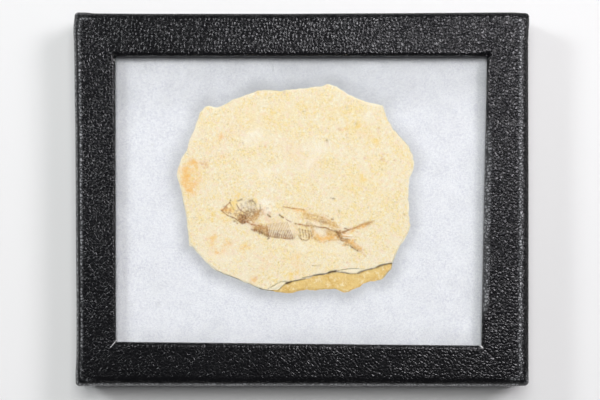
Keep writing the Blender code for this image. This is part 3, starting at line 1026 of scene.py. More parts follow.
    def _wear(self, points: Array, inset: Array, lip_row: int, upper: Array) -> tuple[Array, Array]:
        """Where the cover is painted lighter or darker for the light, and where it is worn.

        Each side has its own amount of painted light on the pebble tops, which noise varies and which
        fades at the outer edge and at the window, leaving painted dark lines there, with less on the back
        lip. The right lip's pale band is real wear with a painted highlight, as the lip table says, and
        painted highlights and reflections run along the turns: each falls off as a bell about its own inset.

        Args:
            points: The cover's points, a row a step of the path.
            inset: Insets of the sheet's front.
            lip_row: The row where the lip begins to roll.
            upper: Share by which a point belongs to the top.

        Returns:
            The rubbing and the wear, in the layout of the points.
        """
        x, y = points[..., 0], points[..., 1]
        front_side, right_side, back_side, left_side = self._weights.T
        across = np.zeros(x.shape)
        # The right lip's pale band: real wear with a painted highlight.
        across[lip_row - 2 : lip_row - 2 + len(self.lip_wear_and_highlight)] = np.array(self.lip_wear_and_highlight)[:, None]
        place = self._outer[:, 1]
        lip_band_side = right_side * ramp(place, 33.0, 24.0) * ramp(place, -44.0, -40.0)
        wear_and_highlight = across * lip_band_side * (0.75 + 0.3 * fractal(x, y, 3.0, 31, 3))
        paths = np.concatenate((inset, inset[-1:].repeat(len(points) - len(inset), 0)))
        # Painted highlights and reflections along the turns of the edge: one line on each side, brighter
        # towards the back on the left, and a pale painted rim on the left and front.
        highlight_back_fade = 0.55 + 0.45 * ramp(y, -45.0, 45.0)
        painted_highlight = 1.35 * highlight_back_fade * left_side * bell(paths - 1.88, 0.27)
        painted_highlight += 0.75 * right_side * bell(paths - 2.3, 0.5)
        painted_highlight += (1.15 * left_side + 1.9 * front_side) * bell(paths - 0.45, 0.32)
        wear_and_highlight = np.maximum(wear_and_highlight, painted_highlight * upper * (1.0 + 0.3 * fractal(x, y, 1.6, 43, 2)))
        # Painted light by side, following the lamps: most on the right, then left and back, none in front; it
        # grows towards the right along the back and towards the back along the sides.
        around = 0.60 * right_side + 0.26 * back_side + 0.36 * left_side
        rubbed_and_painted_light = around + 0.004 * x * back_side + 0.005 * y * (left_side + right_side)
        rubbed_and_painted_light = rubbed_and_painted_light + 0.10 * fractal(x, y, 11.0, 37, 3)
        # The painted light fades at the outer edge and at the window, which paints the dark lines there, and
        # less of it reaches the back lip.
        near_lip = ramp(self.border - paths, 0.4, 1.5)
        behind = back_side > 0.5
        at_lip = 0.35 * behind * near_lip + near_lip * ~behind
        at_lip = at_lip + 0.65 * behind * ramp(self.border - paths, 1.0, 2.2)
        rubbed_and_painted_light *= np.where(paths < self.border - 3.0, ramp(paths, 0.8, 1.9), at_lip)
        return rubbed_and_painted_light, wear_and_highlight

    def _build_cover(self, finish: Material) -> None:
        """The embossed paper, from its flap inside the rim, up and over, to its flap behind the window.

        Args:
            finish: Its material.
        """
        inset, height, lip_row = self._cover_path()
        points, faces = self._sheet(inset, height, self.paper, every=3)
        x, y = points[..., 0], points[..., 1]
        upper = ramp(points[..., 2], self.top - 2.6, self.top - 0.6)
        points[..., 2] += upper * 0.05 * fractal(x, y, 9.0, 5, 3)
        for half_width, depth, line in self.pits:
            points[..., 2] -= upper * depth * bell(line_distance(x, y, line)[0], half_width)
        bare = np.zeros(x.shape)
        for half_width, strength, line in self.chips:
            bare = np.maximum(bare, strength * bell(line_distance(x, y, line)[0], half_width, power=4))
        rubbed_and_painted_light, wear_and_highlight = self._wear(points, inset, lip_row, upper)
        points = points.reshape(-1, 3)
        piece = add_piece("embossed_cover", points, facing_out(points, faces), finish, crease=60.0)
        add_values(piece, "rubbed_and_painted_light", np.clip(rubbed_and_painted_light, 0.0, 1.8).ravel())
        add_values(piece, "wear_and_highlight", np.clip(wear_and_highlight, 0.0, 1.3).ravel())
        add_values(piece, "bare", (bare * upper).ravel())
        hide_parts("lid_cover")

    def _build_board(self, finish: Material) -> None:
        """The board inside the paper: the wall, one round fold and the flat frame of the window.

        Args:
            finish: Its material.
        """
        ones = np.ones(len(self._outer))
        board_top = self.top - self.board_set + 0.05
        fold = quarter_turn(self.board_fold_points)
        fold_inset = (self.board_set + self.board_fold * (1.0 - np.cos(fold))) * ones
        fold_height = (board_top - self.board_fold * (1.0 - np.sin(fold))) * ones
        flat = steps_to_one(4)
        flat_inset = fold_inset[-1] + (self.border - self._lip - 1.4 - fold_inset[-1]) * flat
        wall = np.linspace(self.rim + self.board_set, board_top - self.board_fold, 6)[:-1, None] * ones
        inset = np.concatenate((self.board_set * np.ones(wall.shape), fold_inset, flat_inset))
        height = np.concatenate((wall, fold_height, board_top * np.ones(flat_inset.shape)))
        points, faces = self._sheet(inset, height, self.board, every=1)
        points = points.reshape(-1, 3)
        piece = add_piece("folded_board", points, facing_out(points, faces), finish, crease=50.0)
        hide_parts("lid_board")


def refinish(node: str, finish: Material) -> None:
    """Gives a carried-over node a new material.

    Args:
        node: The node's name.
        finish: The material.
    """
    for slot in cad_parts[node].material_slots:
        slot.material = finish
    log.info("%s: refinished with %s", node, finish.name)


@dataclass
class Tray:
    """The tray: folded board and smooth black paper, which keep the frame's shapes."""

    def build(self, paper_finish: PlainPaper, board_finish: Chipboard) -> None:
        """Gives both pieces their finishes.

        Args:
            paper_finish: The paper outside.
            board_finish: The board.
        """
        refinish("tray_cover", paper_finish.material())
        refinish("tray_board", board_finish.material())


class Tint(Enum):
    """Colours of the fish's bones and of the stone's stains."""

    BROWN = display(150, 104, 62)
    DARK = display(114, 76, 38)
    RUST = display(172, 112, 70)
    TAN = display(198, 154, 100)
    ORANGE = display(244, 192, 112)
    YELLOW = display(244, 212, 126)
    OCHRE = display(214, 168, 98)
    OLIVE = display(136, 102, 52)
    GREY = display(176, 148, 110)
    PINK = display(243, 208, 180)
    PALE = display(252, 245, 228)
    ROSE = display(222, 166, 134)


BROWN, DARK, RUST, TAN, ORANGE, YELLOW, OCHRE, OLIVE, GREY, PINK, PALE, ROSE = Tint


@dataclass(frozen=True)
class Stroke:
    """One line of bone or stain: a soft-edged band along a line.

    Attributes:
        tint: Its colour.
        half_width: Distance from the line at which it has faded to a third.
        cover: How much it hides, from 0 to 1.
        rise: How high it stands.
        line: The line's points.
    """

    tint: Tint
    half_width: float
    cover: float
    rise: float
    line: tuple[Point, ...]


def paired(*coordinates: float) -> tuple[Point, ...]:
    """Points from their coordinates given in turn, X before Y."""
    return tuple(zip(coordinates[::2], coordinates[1::2]))


def drawn(*pixels: float, digits: int = 2) -> tuple[Point, ...]:
    """Points in millimetres from places on the plan view in pixels, given in turn, X before Y.

    A place's pixels from the middle are divided by the pixels in a millimetre and rounded. Pixels
    count to the right and to the front.

    Args:
        *pixels: The places' coordinates.
        digits: Decimals that are kept.

    Returns:
        The points.
    """
    middle_x, middle_y = MIDDLE_PIXEL
    return tuple(
        (round((x - middle_x) / PIXELS_PER_MM, digits), round((middle_y - y) / PIXELS_PER_MM, digits))
        for x, y in paired(*pixels)
    )


# Tint, half width, cover and rise of a soft tint, then its line's coordinates, all in millimetres.
GLOW_ROWS = (
    (GREY, 2.0, 0.12, 0.0, -17.4, -1.7, -15.2, -2.4), (TAN, 1.3, 0.38, 0.0, -17.6, -5.5, -15.6, -4.9),
    (YELLOW, 1.2, 0.38, 0.0, -21.6, -2.6, -20.2, -1.2, -19.4, 0.8),
    (TAN, 1.1, 0.35, 0.0, -14.6, -7.6, -12.0, -8.6, -10.6, -9.2),
    (TAN, 0.9, 0.3, 0.0, -10.2, -9.6, -6.0, -10.4, -2.6, -10.7),
    (ORANGE, 1.0, 0.28, 0.0, -4.6, -2.6, 0.6, -3.4),
    (OCHRE, 1.2, 0.26, 0.0, 0.6, -4.6, 5.0, -5.8, 9.6, -7.6),
    (ORANGE, 1.3, 0.26, 0.0, 3.4, -10.6, 7.6, -10.8, 10.6, -10.4),
    (TAN, 0.8, 0.48, 0.0, 10.6, -9.6, 12.0, -10.4, 13.4, -11.8, 15.6, -13.6, 17.2, -14.8),
    (TAN, 0.7, 0.44, 0.0, 11.4, -9.9, 13.8, -9.2, 17.0, -8.0, 20.6, -6.6),
)
# Tint, half width, cover and rise of a bone, then its line's pixels.
FISH_ROWS = (
    (BROWN, 0.15, 0.75, 0.05, 221.7, 210.5, 227.3, 215.1, 232.4, 217.1, 236.5, 219.2, 239.8, 221.8, 242.7,
     223.3), (RUST, 0.15, 0.65, 0.05, 221.7, 210.5, 224.5, 209, 226.8, 205.4, 229.9, 202.3),
    (BROWN, 0.15, 0.65, 0.05, 229.9, 202.3, 231.6, 205.6, 233.9, 209.5),
    (DARK, 0.17, 0.65, 0.03, 230.6, 200.4), (ORANGE, 0.75, 0.45, 0.02, 225.8, 210.8, 230.4, 210.2),
    (YELLOW, 0.95, 0.4, 0.02, 237.2, 195.2, 236.6, 198.4, 234.2, 202.5, 233.6, 206.8),
    (DARK, 0.17, 0.6, 0.04, 237.6, 200.8, 239.6, 200.5, 242, 199), (DARK, 0.15, 0.6, 0.03, 250.1, 200.3),
    (OLIVE, 0.17, 0.85, 0.05, 252.3, 200.3, 254.2, 202.4, 255.4, 203.9),
    (YELLOW, 0.45, 0.45, 0.02, 255.2, 199.6, 256.4, 201.8),
    (PALE, 1.2, 0.3, 0.0, 241, 206, 246, 205, 251.2, 204),
    (GREY, 0.13, 0.5, 0.02, 241, 203.6, 241.2, 204.6),
    (GREY, 0.13, 0.5, 0.02, 247.4, 207.2, 248.6, 206.8),
    (GREY, 0.13, 0.4, 0.02, 243.6, 207.4, 244.6, 208.4),
    (BROWN, 0.14, 0.6, 0.05, 236.6, 204, 237.5, 205.8, 239.6, 209.5, 243.6, 212, 247, 213.2),
    (GREY, 0.75, 0.45, 0.03, 247.2, 213, 251.5, 212.2, 256, 211.6),
    (GREY, 0.13, 0.4, 0.03, 248.6, 209.4, 248, 214.6), (GREY, 0.13, 0.4, 0.03, 251.3, 209.2, 251, 215.2),
    (BROWN, 0.13, 0.35, 0.03, 254.4, 209.4, 255, 214.6),
    (OLIVE, 0.14, 0.4, 0.03, 260, 204.4, 260.4, 207.5, 260.2, 210.5, 258.6, 213.5),
    (OLIVE, 0.17, 0.55, 0.02, 259.6, 211), (TAN, 1.05, 0.45, 0.04, 239.8, 218.2, 246, 219),
    (BROWN, 0.15, 0.6, 0.04, 238, 216.2, 241, 214.6, 244, 215.5, 246.6, 217.2),
    (BROWN, 0.15, 0.62, 0.04, 239.5, 219.5, 242, 217.8, 245, 218.2, 247.8, 219.8),
    (BROWN, 0.15, 0.7, 0.04, 241, 222.2, 243.5, 220, 246.2, 221.5),
    (BROWN, 0.15, 0.65, 0.04, 242.5, 223.6, 245.5, 222.8, 248.2, 220.5),
    (DARK, 0.14, 0.55, 0.03, 242.2, 215, 243.2, 219, 242.3, 223.5),
    (DARK, 0.14, 0.55, 0.03, 245.2, 214.8, 245.8, 218.5, 244.8, 222.8),
    (BROWN, 0.2, 0.55, 0.02, 233.9, 221.3, 235, 221.1),
    (BROWN, 0.15, 0.5, 0.02, 236.9, 222.9, 237.6, 223.4),
    (TAN, 0.95, 0.5, 0.03, 250, 219, 254, 217, 257.5, 213.5),
    (TAN, 0.6, 0.4, 0.02, 252.2, 222, 255, 219.4), (OCHRE, 0.24, 0.6, 0.02, 253.3, 222.2),
    (PINK, 0.8, 0.35, 0.02, 265.4, 210, 266.4, 217.5),
    (OLIVE, 0.2, 0.8, 0.03, 267.4, 214.2, 268.6, 215.6, 270.4, 216.8),
    (PALE, 1.15, 0.45, 0.0, 263.6, 202.8, 270, 204.2, 268, 209),
    (RUST, 0.15, 0.65, 0.05, 250.4, 224, 251.8, 224.3, 255.4, 225.3, 260, 225.8, 263, 226.8, 266.5, 226),
    (TAN, 0.95, 0.42, 0.02, 256, 227.8, 261, 229, 267, 230),
    (BROWN, 0.19, 0.62, 0.04, 251.8, 229.4, 256, 230.8, 261, 233, 267, 235.5, 273.2, 236.6, 283.4, 238.1,
     290.6, 238.7, 294, 238.2), (TAN, 0.5, 0.5, 0.02, 266, 234, 275, 235.4, 285, 236.7, 293, 236.7),
    (OLIVE, 0.22, 0.85, 0.02, 261.8, 231.6, 262.2, 232.8),
    (OLIVE, 0.18, 0.7, 0.02, 264.2, 233.4, 265, 234.2),
    (OLIVE, 0.22, 0.8, 0.02, 267.4, 234.8, 268, 235.6), (OLIVE, 0.3, 0.8, 0.02, 276.8, 234.6, 277.4, 236),
    (OLIVE, 0.2, 0.6, 0.02, 279.4, 236), (OLIVE, 0.15, 0.85, 0.02, 287.5, 230.4, 287.7, 231.8),
    (OLIVE, 0.22, 0.8, 0.02, 292.5, 237.8, 293.2, 236.8),
    (OLIVE, 0.15, 0.6, 0.02, 285.6, 235.6, 286, 236.8),
    (BROWN, 0.16, 0.6, 0.04, 298.8, 234.6, 299.8, 237.6, 301.8, 239.6, 306, 240.4, 308.8, 239),
    (TAN, 0.17, 0.55, 0.03, 308.8, 239, 309.6, 236, 309.2, 233.4),
    (OLIVE, 0.15, 0.75, 0.04, 279.2, 214.8, 281, 216, 283.4, 217.7),
    (OLIVE, 0.2, 0.75, 0.02, 282.8, 217.3),
    (BROWN, 0.15, 0.6, 0.04, 286.4, 219.4, 288.4, 220.6, 290.8, 221.8),
    (OLIVE, 0.18, 0.7, 0.02, 295.5, 223.7),
    (RUST, 0.17, 0.62, 0.04, 298.2, 224.2, 300.3, 224.3, 304, 225.2, 308.6, 225.7),
    (OLIVE, 0.28, 0.4, 0.02, 310.5, 225.6, 313.4, 226.2),
    (BROWN, 0.13, 0.35, 0.02, 314.4, 225.8, 317, 226.4),
    (BROWN, 0.18, 0.7, 0.05, 317.6, 227.1, 321.4, 227.5, 325, 227.6, 327.4, 228.3, 329.6, 229.8, 333,
     230.6, 336, 231.5),
    (TAN, 0.17, 0.72, 0.05, 283.2, 206.8, 287, 207.2, 291.4, 208.2, 297.8, 208.8, 304.1, 210),
    (ORANGE, 0.38, 0.55, 0.02, 295.5, 209.6, 300, 210.2, 303.4, 211.2),
    (OCHRE, 0.16, 0.5, 0.03, 304.1, 213.6, 311.8, 214.6, 320.7, 216.8, 326.5, 219.2, 330.9, 221.8, 335.8,
     223.2),
    (OCHRE, 0.8, 0.38, 0.03, 309, 216.8, 315, 217.8, 321, 219.6, 326, 221.8, 331, 224.6, 335.4, 226),
    (BROWN, 0.5, 0.35, 0.02, 320.5, 221.2, 325.6, 222.3),
    (OCHRE, 0.36, 0.55, 0.03, 311.2, 226, 313, 230.7, 313, 235.8, 316.4, 240, 320.5, 241.6),
    (PALE, 0.95, 0.5, 0.0, 318.4, 230.4, 323, 233),
    (ORANGE, 0.75, 0.5, 0.02, 321.5, 239, 327, 238.6, 333, 237.4, 338, 237),
    (TAN, 0.18, 0.42, 0.03, 324, 242, 330, 240, 338.4, 239.7),
    (OCHRE, 0.85, 0.42, 0.02, 329, 232.6, 334.4, 233.6, 338, 236),
    (DARK, 0.22, 0.8, 0.06, 335.2, 230.7, 337.3, 232.6, 339.8, 236.5, 342.4, 239.6),
    (BROWN, 0.24, 0.65, 0.05, 337.6, 233.8, 339.4, 237, 341.8, 240),
    (BROWN, 0.3, 0.7, 0.05, 342.4, 239.8, 344.4, 240.4, 346.6, 239),
    (GREY, 0.28, 0.5, 0.03, 343, 237.6, 345.6, 238.6),
    (BROWN, 0.2, 0.72, 0.05, 338.4, 232.4, 341.6, 232.8, 345, 231.6, 348.8, 229.9),
    (BROWN, 0.18, 0.6, 0.04, 344.8, 228.4, 346.2, 228.4, 347.8, 229.6),
    (RUST, 0.2, 0.72, 0.05, 348.8, 229.9, 353.9, 228.2, 359, 226.3, 364.1, 224.1),
    (TAN, 0.17, 0.6, 0.04, 364.1, 224.1, 369.8, 222.1, 373.9, 220.9),
    (ORANGE, 0.65, 0.4, 0.02, 350, 231.2, 354, 229.8, 359, 228, 364, 226),
    (ORANGE, 0.75, 0.38, 0.02, 342.8, 235.2, 347.5, 235.4),
    (PALE, 0.13, 0.6, 0.04, 342.4, 234.6, 347, 235.2, 352, 235.4),
    (PALE, 0.12, 0.55, 0.04, 343, 237.2, 348, 237.8, 352.6, 238),
    (TAN, 0.12, 0.45, 0.02, 342.6, 236, 347, 236.6, 352, 237),
    (TAN, 0.42, 0.72, 0.05, 342.4, 239.9, 346.9, 241, 351.3, 243.6, 355.2, 247.2, 358.4, 249.6),
    (DARK, 0.17, 0.55, 0.03, 350.6, 246, 354.4, 248.9, 357.6, 250.8),
    (ORANGE, 0.6, 0.42, 0.02, 350, 241.4, 355, 244.8, 360.4, 248.6),
    (OCHRE, 0.34, 0.26, 0.0, 360.5, 250.8, 363.8, 253.8, 366.2, 256.4),
    (OCHRE, 2.1, 0.1, 0.05, 262, 220, 285, 224, 305, 227, 330, 231),
)
# Tint, half width and cover of a stain, then its line's pixels.
STAIN_ROWS = (
    (ROSE, 0.3, 0.45, 268.7, 124.8), (ROSE, 0.32, 0.4, 265.4, 146, 267, 147),
    (BROWN, 0.24, 0.26, 222, 152.8), (ORANGE, 0.6, 0.25, 220, 156, 224, 157),
    (BROWN, 0.2, 0.26, 274, 148.8), (BROWN, 0.22, 0.36, 242.8, 143.2, 243.6, 144.2),
    (BROWN, 0.22, 0.3, 284.4, 92.4), (OCHRE, 0.22, 0.6, 338.6, 128.9, 340, 129),
    (ORANGE, 0.45, 0.55, 342.8, 129.2, 346, 129.4), (OLIVE, 0.22, 0.36, 355.6, 123, 356.4, 125.6),
    (YELLOW, 0.55, 0.5, 359.4, 120.5, 360.3, 124.6, 357, 126.4),
    (OLIVE, 0.22, 0.63, 326.7, 140.6, 328.3, 142), (OLIVE, 0.18, 0.56, 333.8, 198.6),
    (OLIVE, 0.14, 0.4, 330.2, 197.8, 333.4, 198.4), (OLIVE, 0.18, 0.3, 382, 170.2),
    (OLIVE, 0.22, 0.23, 339.5, 211), (OLIVE, 0.18, 0.26, 404.5, 214.6), (OLIVE, 0.18, 0.26, 403.6, 203.4),
    (OLIVE, 0.18, 0.4, 303.4, 110.8, 304.8, 111.2), (OLIVE, 0.18, 0.33, 344.6, 102.8),
    (OLIVE, 0.24, 0.3, 347, 106.6, 347.6, 108.2), (OLIVE, 0.18, 0.26, 267, 180),
    (OLIVE, 0.18, 0.23, 248.5, 185), (OLIVE, 0.2, 0.2, 274.2, 207),
    (ORANGE, 0.75, 0.4, 218.2, 138, 221.6, 136.2), (YELLOW, 0.5, 0.5, 309.4, 97.4),
    (YELLOW, 0.45, 0.5, 314.3, 107, 314.6, 111.8), (ORANGE, 0.35, 0.45, 323.6, 119.8),
    (YELLOW, 0.75, 0.5, 374.2, 144, 378, 142), (OCHRE, 0.3, 0.4, 378.3, 128),
    (YELLOW, 0.8, 0.35, 397, 147, 398, 151), (ROSE, 0.28, 0.45, 364.4, 158.2),
    (YELLOW, 0.3, 0.35, 369, 157.7), (OCHRE, 0.4, 0.35, 382, 158, 382.4, 161),
    (ROSE, 0.24, 0.35, 395, 160), (YELLOW, 0.7, 0.45, 361.4, 176.6, 363.2, 180),
    (YELLOW, 0.6, 0.3, 402, 172.4), (ORANGE, 0.85, 0.5, 193, 163.6, 195.8, 164.4),
    (ROSE, 0.65, 0.45, 203, 163.4, 205.2, 165.4), (ORANGE, 1.35, 0.5, 186, 172, 188, 182, 190, 189),
    (ORANGE, 1.7, 0.28, 190, 168, 197, 177, 193, 190), (OLIVE, 0.2, 0.26, 204.4, 173.2),
    (OCHRE, 0.22, 0.4, 346, 135.5, 346.8, 137), (BROWN, 0.16, 0.3, 347.8, 144),
    (OLIVE, 0.22, 0.17, 359.8, 138), (BROWN, 0.22, 0.2, 332.4, 148.2),
    (PINK, 0.55, 0.28, 357.2, 133.6, 373.6, 136.6), (ORANGE, 0.9, 0.28, 229.6, 243.2),
    (BROWN, 0.3, 0.17, 229.8, 242.4, 231.4, 242.8), (ORANGE, 1.2, 0.25, 212.4, 238, 214, 244),
    (ORANGE, 1.3, 0.28, 219.4, 252.7, 223, 251), (ORANGE, 1.3, 0.25, 243.4, 248.4, 246, 246),
    (OCHRE, 0.22, 0.35, 240.8, 271.2), (ORANGE, 0.8, 0.5, 252.6, 280.6, 256, 279.6),
    (ROSE, 0.28, 0.4, 256.4, 277.6), (YELLOW, 0.95, 0.6, 289.6, 274, 293.6, 274),
    (YELLOW, 0.95, 0.5, 289.8, 277.2, 292.6, 277), (YELLOW, 0.95, 0.35, 297.6, 257),
    (OCHRE, 0.3, 0.35, 387.3, 246.7), (OLIVE, 0.3, 0.18, 312.6, 265.8, 320.4, 265.4),
    (ROSE, 0.28, 0.4, 347.3, 262.2), (OLIVE, 0.22, 0.2, 313, 265.5),
    (ORANGE, 1.6, 0.2, 296, 262, 300, 275), (ORANGE, 1.8, 0.2, 266, 259, 264, 268),
    (YELLOW, 2.6, 0.16, 240, 110, 262, 120, 300, 108), (YELLOW, 2.4, 0.16, 330, 112, 352, 118, 365, 134),
    (PINK, 2.2, 0.14, 236, 128, 215, 150), (PINK, 2.2, 0.14, 290, 150, 315, 165),
    (PALE, 2.2, 0.3, 255, 133, 250, 142), (PALE, 2.0, 0.28, 318, 146, 308, 162),
    (PALE, 2.2, 0.25, 278, 170, 262, 175), (PALE, 1.8, 0.25, 216, 256, 232, 262),
    (PALE, 2.0, 0.22, 300, 247, 340, 252), (PALE, 1.6, 0.25, 372, 108, 368, 116),
    (YELLOW, 2.4, 0.14, 350, 182, 380, 190), (OLIVE, 0.45, 0.2, 251.4, 205.6),
    (YELLOW, 0.5, 0.4, 213, 212, 212, 220), (YELLOW, 1.2, 0.28, 225, 220, 228, 215),
    (YELLOW, 2.2, 0.14, 330, 250, 300, 232),
)
# Half width and cover of a crack, then its line's pixels. Those from FLAKE_CRACKS on are cut in.
CRACK_ROWS = (
    (0.3, 0.95, 286.5, 283, 291.5, 281.5), (0.17, 0.8, 291.5, 281.5, 299, 280, 305, 278.8),
    (0.12, 0.55, 302.5, 277.6, 308, 276.6, 313, 275.5),
    (0.2, 0.85, 314, 275.3, 318, 274.8, 324, 274, 328, 273),
    (0.32, 0.95, 328, 273, 332, 271.4, 336, 271.2),
    (0.15, 0.7, 336, 271.2, 340, 271.8, 346, 272.8, 352, 274.2), (0.12, 0.35, 352, 274.2, 356.3, 274.6),
    (0.2, 0.8, 357.5, 273.5, 361.5, 271.7, 366, 270, 370, 269.2, 375, 268.2),
    (0.24, 0.85, 375, 268.2, 379.5, 266.2, 384.7, 264.4, 391.5, 263.3),
    (0.2, 0.85, 259.5, 288.6, 264, 290.6, 268.4, 290.8, 273, 291.5),
    (0.12, 0.5, 268, 289, 272.6, 286.3, 277, 283.7, 281, 281.8, 286, 281.5),
    (0.13, 0.6, 278, 290.5, 281.5, 287, 286, 284),
    (0.11, 0.45, 334.8, 271.4, 341.7, 269.9, 350.3, 268.6, 359, 268.6),
)
FLAKE_CRACKS = 9
STAIN_ROUGHNESS = 0.6
FLAKES = (
    drawn(334.8, 271.4, 341.7, 269.9, 350.3, 268.6, 359, 268.6, 366.5, 269.2, 361.5, 271.7, 356.3, 274.2,
          350.3, 273.8, 345, 272.7, 340, 271.7),
    drawn(268, 289, 272.6, 286.3, 277, 283.7, 281, 281.6, 288, 281, 284, 284.6, 280.4, 287.2, 277.8,
          290.4, 272, 290.2),
    drawn(302.5, 277.6, 308, 276.6, 316, 275.4, 322, 274.6, 318, 277.5, 310, 279.5, 304, 280.3),
)
SHARED_EDGE = drawn(
    392.5, 263.5, 395.9, 254.4, 399.3, 246.7, 403.6, 240.7, 408, 233.8, 410.3, 225, 409.1, 214.6, 408.8,
    188.7, 409.2, 178.4, 413, 169, 414.2, 162, 413, 156, 409.7, 148.2, 404.5, 141.3, 398.5, 135.3, 392.5,
    127.5, 388, 119.8, 384.7, 112, 382.6, 105.6, 372.7, 103, 365, 101.3, 350.3, 95.2, 343.4, 91.4, 337.4,
    87, 332, 84.9, 327, 84, 322, 85.8, 303, 88.3, 286, 89.9, 280.3, 90.8, 273.7, 89.9, 265.4, 89.5, 258,
    90.3, 243, 95.7, 232, 100.3, 223, 105, 217.3, 107.8, 213.9, 107.3, 209, 105.7, 204.8, 107.3, 199.9,
    112.3, 194.9, 128, 189.9, 139.7, 186.5, 151, 181.4, 159.5, 178.8, 165.5, 176.6, 175, 180.9, 190.5,
    184, 205, 187, 223, 188.7, 241.5, 189.8, 245.9, 192.6, 246.7, 201.2, 257, 211.5, 267.4, 216.7, 270.8,
    234, 277.7, 249.4, 284, 259.7, 288.9, 268.3, 291, digits=1,
)
LEDGE_EDGE = drawn(
    278.6, 292.3, 285.5, 293.2, 292, 293, 300, 291, 307, 289.7, 315, 291, 321, 289.7, 334.8, 289.3, 343.4,
    292.3, 348.5, 291.9, 358.9, 287.2, 364, 284, 369.2, 282, 380.4, 280.3, 383.8, 278.5, 387.3, 273.4,
    391.6, 269, digits=1,
)
FRACTURE_EDGE = drawn(
    277.7, 289.3, 284, 284.6, 290, 282, 303, 279.4, 309, 278.5, 316.7, 275, 326.2, 274.2, 330.5, 272.5,
    334.8, 271.4, 345, 272.7, 356.3, 274.2, 361.5, 271.7, 370, 269.2, 375.2, 268.2, 379.5, 266, 384.7,
    264.3, digits=1,
)


def crumbs(
    seed: int, count: int, centre: Point, radii: Point, cover: float, tints: tuple[Tint, ...]
) -> list[Stroke]:
    """Crumbs of bone: short crooked strokes scattered in an ellipse, closer together in its middle.

    Args:
        seed: Seed of the draw.
        count: How many crumbs.
        centre: The ellipse's centre.
        radii: Its radii.
        cover: Mean cover of a crumb.
        tints: Tints that it may have.

    Returns:
        The strokes.
    """
    random = np.random.default_rng(seed)
    turn, reach = random.uniform(0.0, 2.0 * np.pi, count), random.uniform(0.05, 1.0, count) ** 0.6
    first = np.array(centre) + np.stack((np.cos(turn), np.sin(turn)), -1) * reach[:, None] * radii
    heading = random.uniform(0.0, 2.0 * np.pi, (count, 1)) + random.normal(0.0, 0.9, (count, 2)).cumsum(1)
    steps = np.stack((np.cos(heading), np.sin(heading)), -1) * random.uniform(0.1, 0.5, (count, 1, 1))
    lines = np.concatenate((first[:, None], first[:, None] + steps.cumsum(1)), 1)
    widths, covers = random.uniform(0.10, 0.20, count), cover * random.uniform(0.5, 1.5, count)
    return [
        Stroke(tints[number % len(tints)], width, share, 0.02, tuple(map(tuple, line)))
        for number, (width, share, line) in enumerate(zip(widths, covers, lines.tolist()))
    ]


CRUMB_ROWS = (
    (46, (-16.2, -1.6), (2.8, 1.9), 0.28, (GREY, OLIVE, GREY)),
    (50, (-17.2, -5.4), (1.8, 1.5), 0.55, (BROWN, DARK, RUST)),
    (34, (-15.3, -4.0), (2.0, 1.0), 0.44, (GREY, DARK, BROWN)),
    (26, (-11.2, -3.4), (2.2, 1.5), 0.36, (GREY, ROSE, OLIVE)),
    (22, (-22.3, -2.9), (1.5, 0.9), 0.42, (RUST, ORANGE, BROWN)),
    (26, (-19.6, -3.6), (1.9, 1.5), 0.34, (TAN, YELLOW, BROWN)),
    (36, (-12.0, -9.0), (2.4, 0.8), 0.55, (OLIVE, BROWN, TAN)),
    (30, (-6.6, -10.8), (4.2, 0.35), 0.42, (OLIVE, BROWN, DARK)),
    (24, (11.2, -10.6), (1.5, 1.2), 0.5, (BROWN, DARK, TAN)),
    (40, (4.0, -8.4), (6.0, 2.2), 0.26, (TAN, OLIVE, OCHRE)),
    (24, (4.6, -5.4), (5.0, 0.9), 0.3, (OCHRE, BROWN, TAN)),
    (26, (13.6, -12.6), (2.4, 1.1), 0.34, (TAN, ORANGE, BROWN)),
)


def fish_strokes() -> list[Stroke]:
    """The fish's bones: soft tints under them, crumbs of bone, the drawn ones and two rows of ribs.

    The first row's ribs fan out: rib k starts k x 0.46 along and ends k x 0.555 along. Each is faint
    above and strong below, and a pale one lies beside it. The shorter ribs behind it lean evenly.

    Returns:
        The strokes, in the order in which they are laid.
    """
    strokes = [Stroke(*row[:4], paired(*row[4:])) for row in GLOW_ROWS]
    for number, row in enumerate(CRUMB_ROWS):
        strokes += crumbs(900 + number, *row)
    strokes += [Stroke(*row[:4], drawn(*row[4:])) for row in FISH_ROWS]
    for number in range(14):
        head = (-10.46 + 0.46 * number, -7.25 + 0.05 * number)
        foot = (-9.95 + 0.555 * number, -10.5 - 0.065 * number)
        middle = (0.45 * head[0] + 0.55 * foot[0], 0.45 * head[1] + 0.55 * foot[1])
        beside = tuple((x + 0.25, y) for x, y in (head, middle, foot))
        strokes.append(Stroke(PALE, 0.10, 0.42, 0.0, beside))
        strokes.append(Stroke(TAN, 0.11, 0.52, 0.05, (head, middle)))
        strokes.append(Stroke(BROWN, 0.11, 0.52, 0.07, (middle, foot)))
    for number in range(5):
        top_x, top_y = -0.82 + 0.85 * number, -8.7 - 0.15 * number
        strokes.append(Stroke(BROWN, 0.15, 0.50, 0.05, ((top_x, top_y), (top_x + 0.38, top_y - 2.1))))
    return strokes


